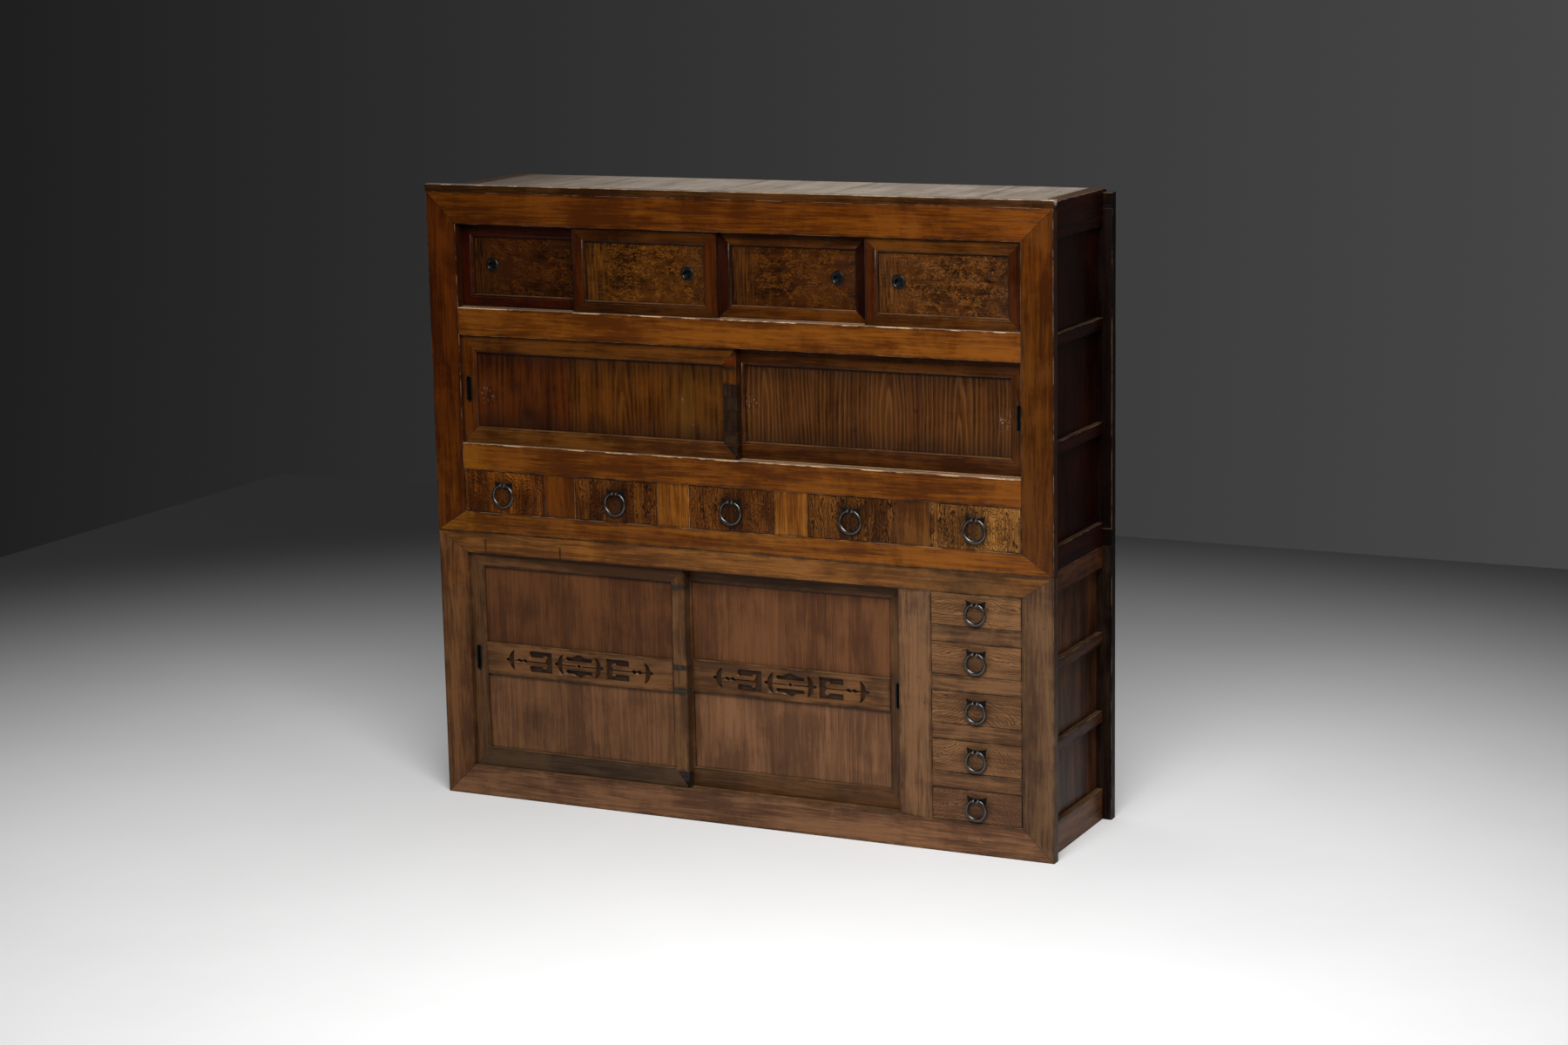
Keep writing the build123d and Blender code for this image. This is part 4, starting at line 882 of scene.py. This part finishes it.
def drawer(node):
    front_wood = "keyaki" if node.startswith("row") else "lower_keyaki"
    piece = Piece(f"{node}_wood")
    solids = shells(node)
    front = min(limits(faces)[0][1] for faces in solids)
    for faces in solids:
        if limits(faces)[0][1] < front + 1:
            piece.board(faces, front_wood, arris=0.9, through=Y, along=Z if front_wood == "keyaki" else X,
                        figure=FIGURES[node], tint=FRONT_TINTS.get(node, NO_TINT))
        else:
            piece.board(faces, "inside", arris=0.5)
    piece.build(BODY_OF[node], "drawer_wood", node)


def iron_piece(node, arris, material):
    piece = Piece(f"{node}_iron")
    for faces in shells(node):
        piece.board(faces, material, arris=arris)
    piece.build(BODY_OF[node], "iron", node)


def ring_path(diameter):
    """The middle line of a ring that hangs from its pins, as x, z, and half its width and depth, all in
    millimetres. It is thickest at the bottom."""
    wire, mouth, pin, steps = 6.8, 9.5, 2.3, 56
    radius = diameter / 2 - wire / 2
    drop = math.sqrt(radius ** 2 - mouth ** 2)
    start = math.atan2(mouth, drop) + 0.12
    path = [(x, 0.0, pin, pin) for x in (3.7, 5.0, 6.4, 7.8)]
    for step in range(steps + 1):
        turn = start + 2 * (math.pi - start) * step / steps
        swell = (1 - math.cos(turn)) / 2
        bend = radius - 0.9 * swell
        path.append((bend * math.sin(turn), bend * math.cos(turn) - drop,
                     2.8 + 2.0 * swell, 2.7 + 1.4 * swell))
    return path + [(-x, z, wide, deep) for x, z, wide, deep in path[3::-1]]


def ring(drawer_node, diameter):
    """A forged ring, whose ends turn in to the pins that hang in the plate's eyes."""
    sides, out, hammered = 16, 8.0, 0.04
    low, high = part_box(f"{drawer_node}_plate")
    path = ring_path(diameter)
    bm = bmesh.new()
    loops = []
    for index, (x, z, wide, deep) in enumerate(path):
        before, after = path[max(index - 1, 0)], path[min(index + 1, len(path) - 1)]
        tangent = Vector((after[0] - before[0], after[1] - before[1])).normalized()
        loop = []
        for side in range(sides):
            angle = 2 * math.pi * side / sides
            flat = 1 - hammered * abs(noise.noise(Vector((x, z, side)) * 0.21))
            out_by = wide * flat * math.cos(angle)
            loop.append(bm.verts.new([(x - tangent[1] * out_by) * MM, deep * flat * math.sin(angle) * MM,
                                      (z + tangent[0] * out_by) * MM]))
        loops.append(loop)
    for first, second in zip(loops, loops[1:]):
        for side in range(sides):
            bm.faces.new((first[side], first[side - 1], second[side - 1], second[side]))
    bm.faces.new(loops[0][::-1])
    bm.faces.new(loops[-1])
    bmesh.ops.recalc_face_normals(bm, faces=bm.faces)
    mesh = bpy.data.meshes.new(f"{drawer_node}_ring_iron")
    bm.to_mesh(mesh)
    bm.free()
    pins = ((low.x + high.x) / 2, FACE - out * MM, (low.z + high.z) / 2)
    mesh.transform(Matrix.Translation(pins))
    mesh.polygons.foreach_set("use_smooth", [True] * len(mesh.polygons))
    mesh.attributes.new("arris", "FLOAT", "FACE")
    mesh.materials.append(MATERIALS["iron"])
    piece = bpy.data.objects.new(mesh.name, mesh)
    bpy.context.scene.collection.objects.link(piece)
    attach(piece, BODY_OF[f"{drawer_node}_ring"])
    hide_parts(f"{drawer_node}_ring")


for row, diameter in RING_SIZES.items():
    for number in DRAWERS:
        node = f"{row}_drawer_{number}"
        drawer(node)
        iron_piece(f"{node}_plate", 0.35, "plate_iron")
        ring(node, diameter)
for number in SMALL_DOORS:
    iron_piece(f"small_door_{number}_cup", 0.3, "cup_iron")
for case in ("middle", "lower"):
    for side in ("left", "right"):
        iron_piece(f"{case}_door_{side}_cup", 0.3, "cup_iron")


# ======== Camera, floor and light ========
def camera():
    """The photograph's camera, as fitted to the straight edges of the front frames."""
    focal_px, width_px, sensor_mm = 3653.8, 1800.0, 36.0
    place = (3.6025, -7.1105 + FACE, 2.3917)
    yaw, pitch, roll = (math.radians(a) for a in (-25.908, 11.274, -1.093))
    forward = Vector((math.sin(yaw) * math.cos(pitch), math.cos(yaw) * math.cos(pitch), -math.sin(pitch)))
    right = Vector((math.cos(yaw), -math.sin(yaw), 0))
    up = right.cross(forward)
    across = right * math.cos(roll) + up * math.sin(roll)
    above = -right * math.sin(roll) + up * math.cos(roll)
    data = bpy.data.cameras.new("camera")
    data.sensor_width = sensor_mm
    data.lens = focal_px / width_px * sensor_mm
    data.clip_end = 60
    seat = bpy.data.objects.new("camera", data)
    turn = Matrix((across, above, -forward)).transposed()
    seat.matrix_world = Matrix.Translation(place) @ turn.to_4x4()
    bpy.context.scene.collection.objects.link(seat)
    bpy.context.scene.camera = seat


def floor():
    """A pale floor up to the studio's walls, with a pool of light painted into its colour in front of the
    cabinet, fading to dark grey further off; camera rays also see it glow.
    """
    left, right, front, rear = -4.1, 4.1, -8.0, 3.67
    painted_pool_centre, glow = (0.36, -1.35, 0), 0.26
    mesh = bpy.data.meshes.new("floor")
    corners = [(left, front, 0), (right, front, 0), (right, rear, 0), (left, rear, 0)]
    mesh.from_pydata(corners, [], [(0, 1, 2, 3)])
    ground = bpy.data.objects.new("floor", mesh)
    bpy.context.scene.collection.objects.link(ground)
    g = Graph("floor_paint")
    here = g.add("TexCoord", out=3)
    gap = g.vector("DISTANCE", here, painted_pool_centre).node.outputs["Value"]
    pale = g.noise(here, (2.2, 2.2, 2.2), 4.0, 0.6)
    painted_pool = g.math("MULTIPLY", g.ramp(gap, 1.75, 5.4, 0.72, 0.04), g.ramp(pale, 0.2, 0.8, 0.97, 1.0))
    paint = g.add("CombineColor", (painted_pool, painted_pool, painted_pool))
    seen = g.math("MULTIPLY", g.add("LightPath"), glow)
    mesh.materials.append(g.finish(Base_Color=paint, Emission_Color=paint, Emission_Strength=seen,
                                   Roughness=0.6))


def lamp(name, place, target, size, power):
    data = bpy.data.lights.new(name, "AREA")
    data.shape = "RECTANGLE"
    data.size, data.size_y = size
    data.energy = power
    light = bpy.data.objects.new(name, data)
    light.location = place
    light.rotation_euler = (Vector(target) - Vector(place)).to_track_quat("-Z", "Y").to_euler()
    bpy.context.scene.collection.objects.link(light)


def world():
    """A dim studio: what the camera sees of it is a grey wall, darker to the left, and everything else gets
    an even grey light from it."""
    ambient = (0.07, 0.07, 0.07, 1)
    wall_range = {"From Min": -0.66, "From Max": -0.2, "To Min": 0.0108, "To Max": 0.061}
    studio = bpy.data.worlds.new("studio")
    studio.use_nodes = True
    bpy.context.scene.world = studio
    nodes, links = studio.node_tree.nodes, studio.node_tree.links
    back = nodes["Background"]
    path, mix = nodes.new("ShaderNodeLightPath"), nodes.new("ShaderNodeMix")
    mix.data_type = "RGBA"
    mix.inputs[6].default_value = ambient
    links.new(path.outputs["Is Camera Ray"], mix.inputs[0])
    wall, turn = nodes.new("ShaderNodeMapRange"), nodes.new("ShaderNodeSeparateXYZ")
    links.new(nodes.new("ShaderNodeTexCoord").outputs["Generated"], turn.inputs[0])
    links.new(turn.outputs["X"], wall.inputs["Value"])
    for name, value in wall_range.items():
        wall.inputs[name].default_value = value
    links.new(wall.outputs[0], mix.inputs[7])
    links.new(mix.outputs[2], back.inputs["Color"])


camera()
floor()
world()
lamp("softbox", (1.4, -2.6, 3.1), (0.5, -0.2, 0.6), (1.9, 1.5), 172)
lamp("overhead", (0.3, 0.3, 3.4), (0.2, 0.1, 0.0), (2.6, 1.0), 22)
bpy.context.scene.view_settings.view_transform = "Standard"
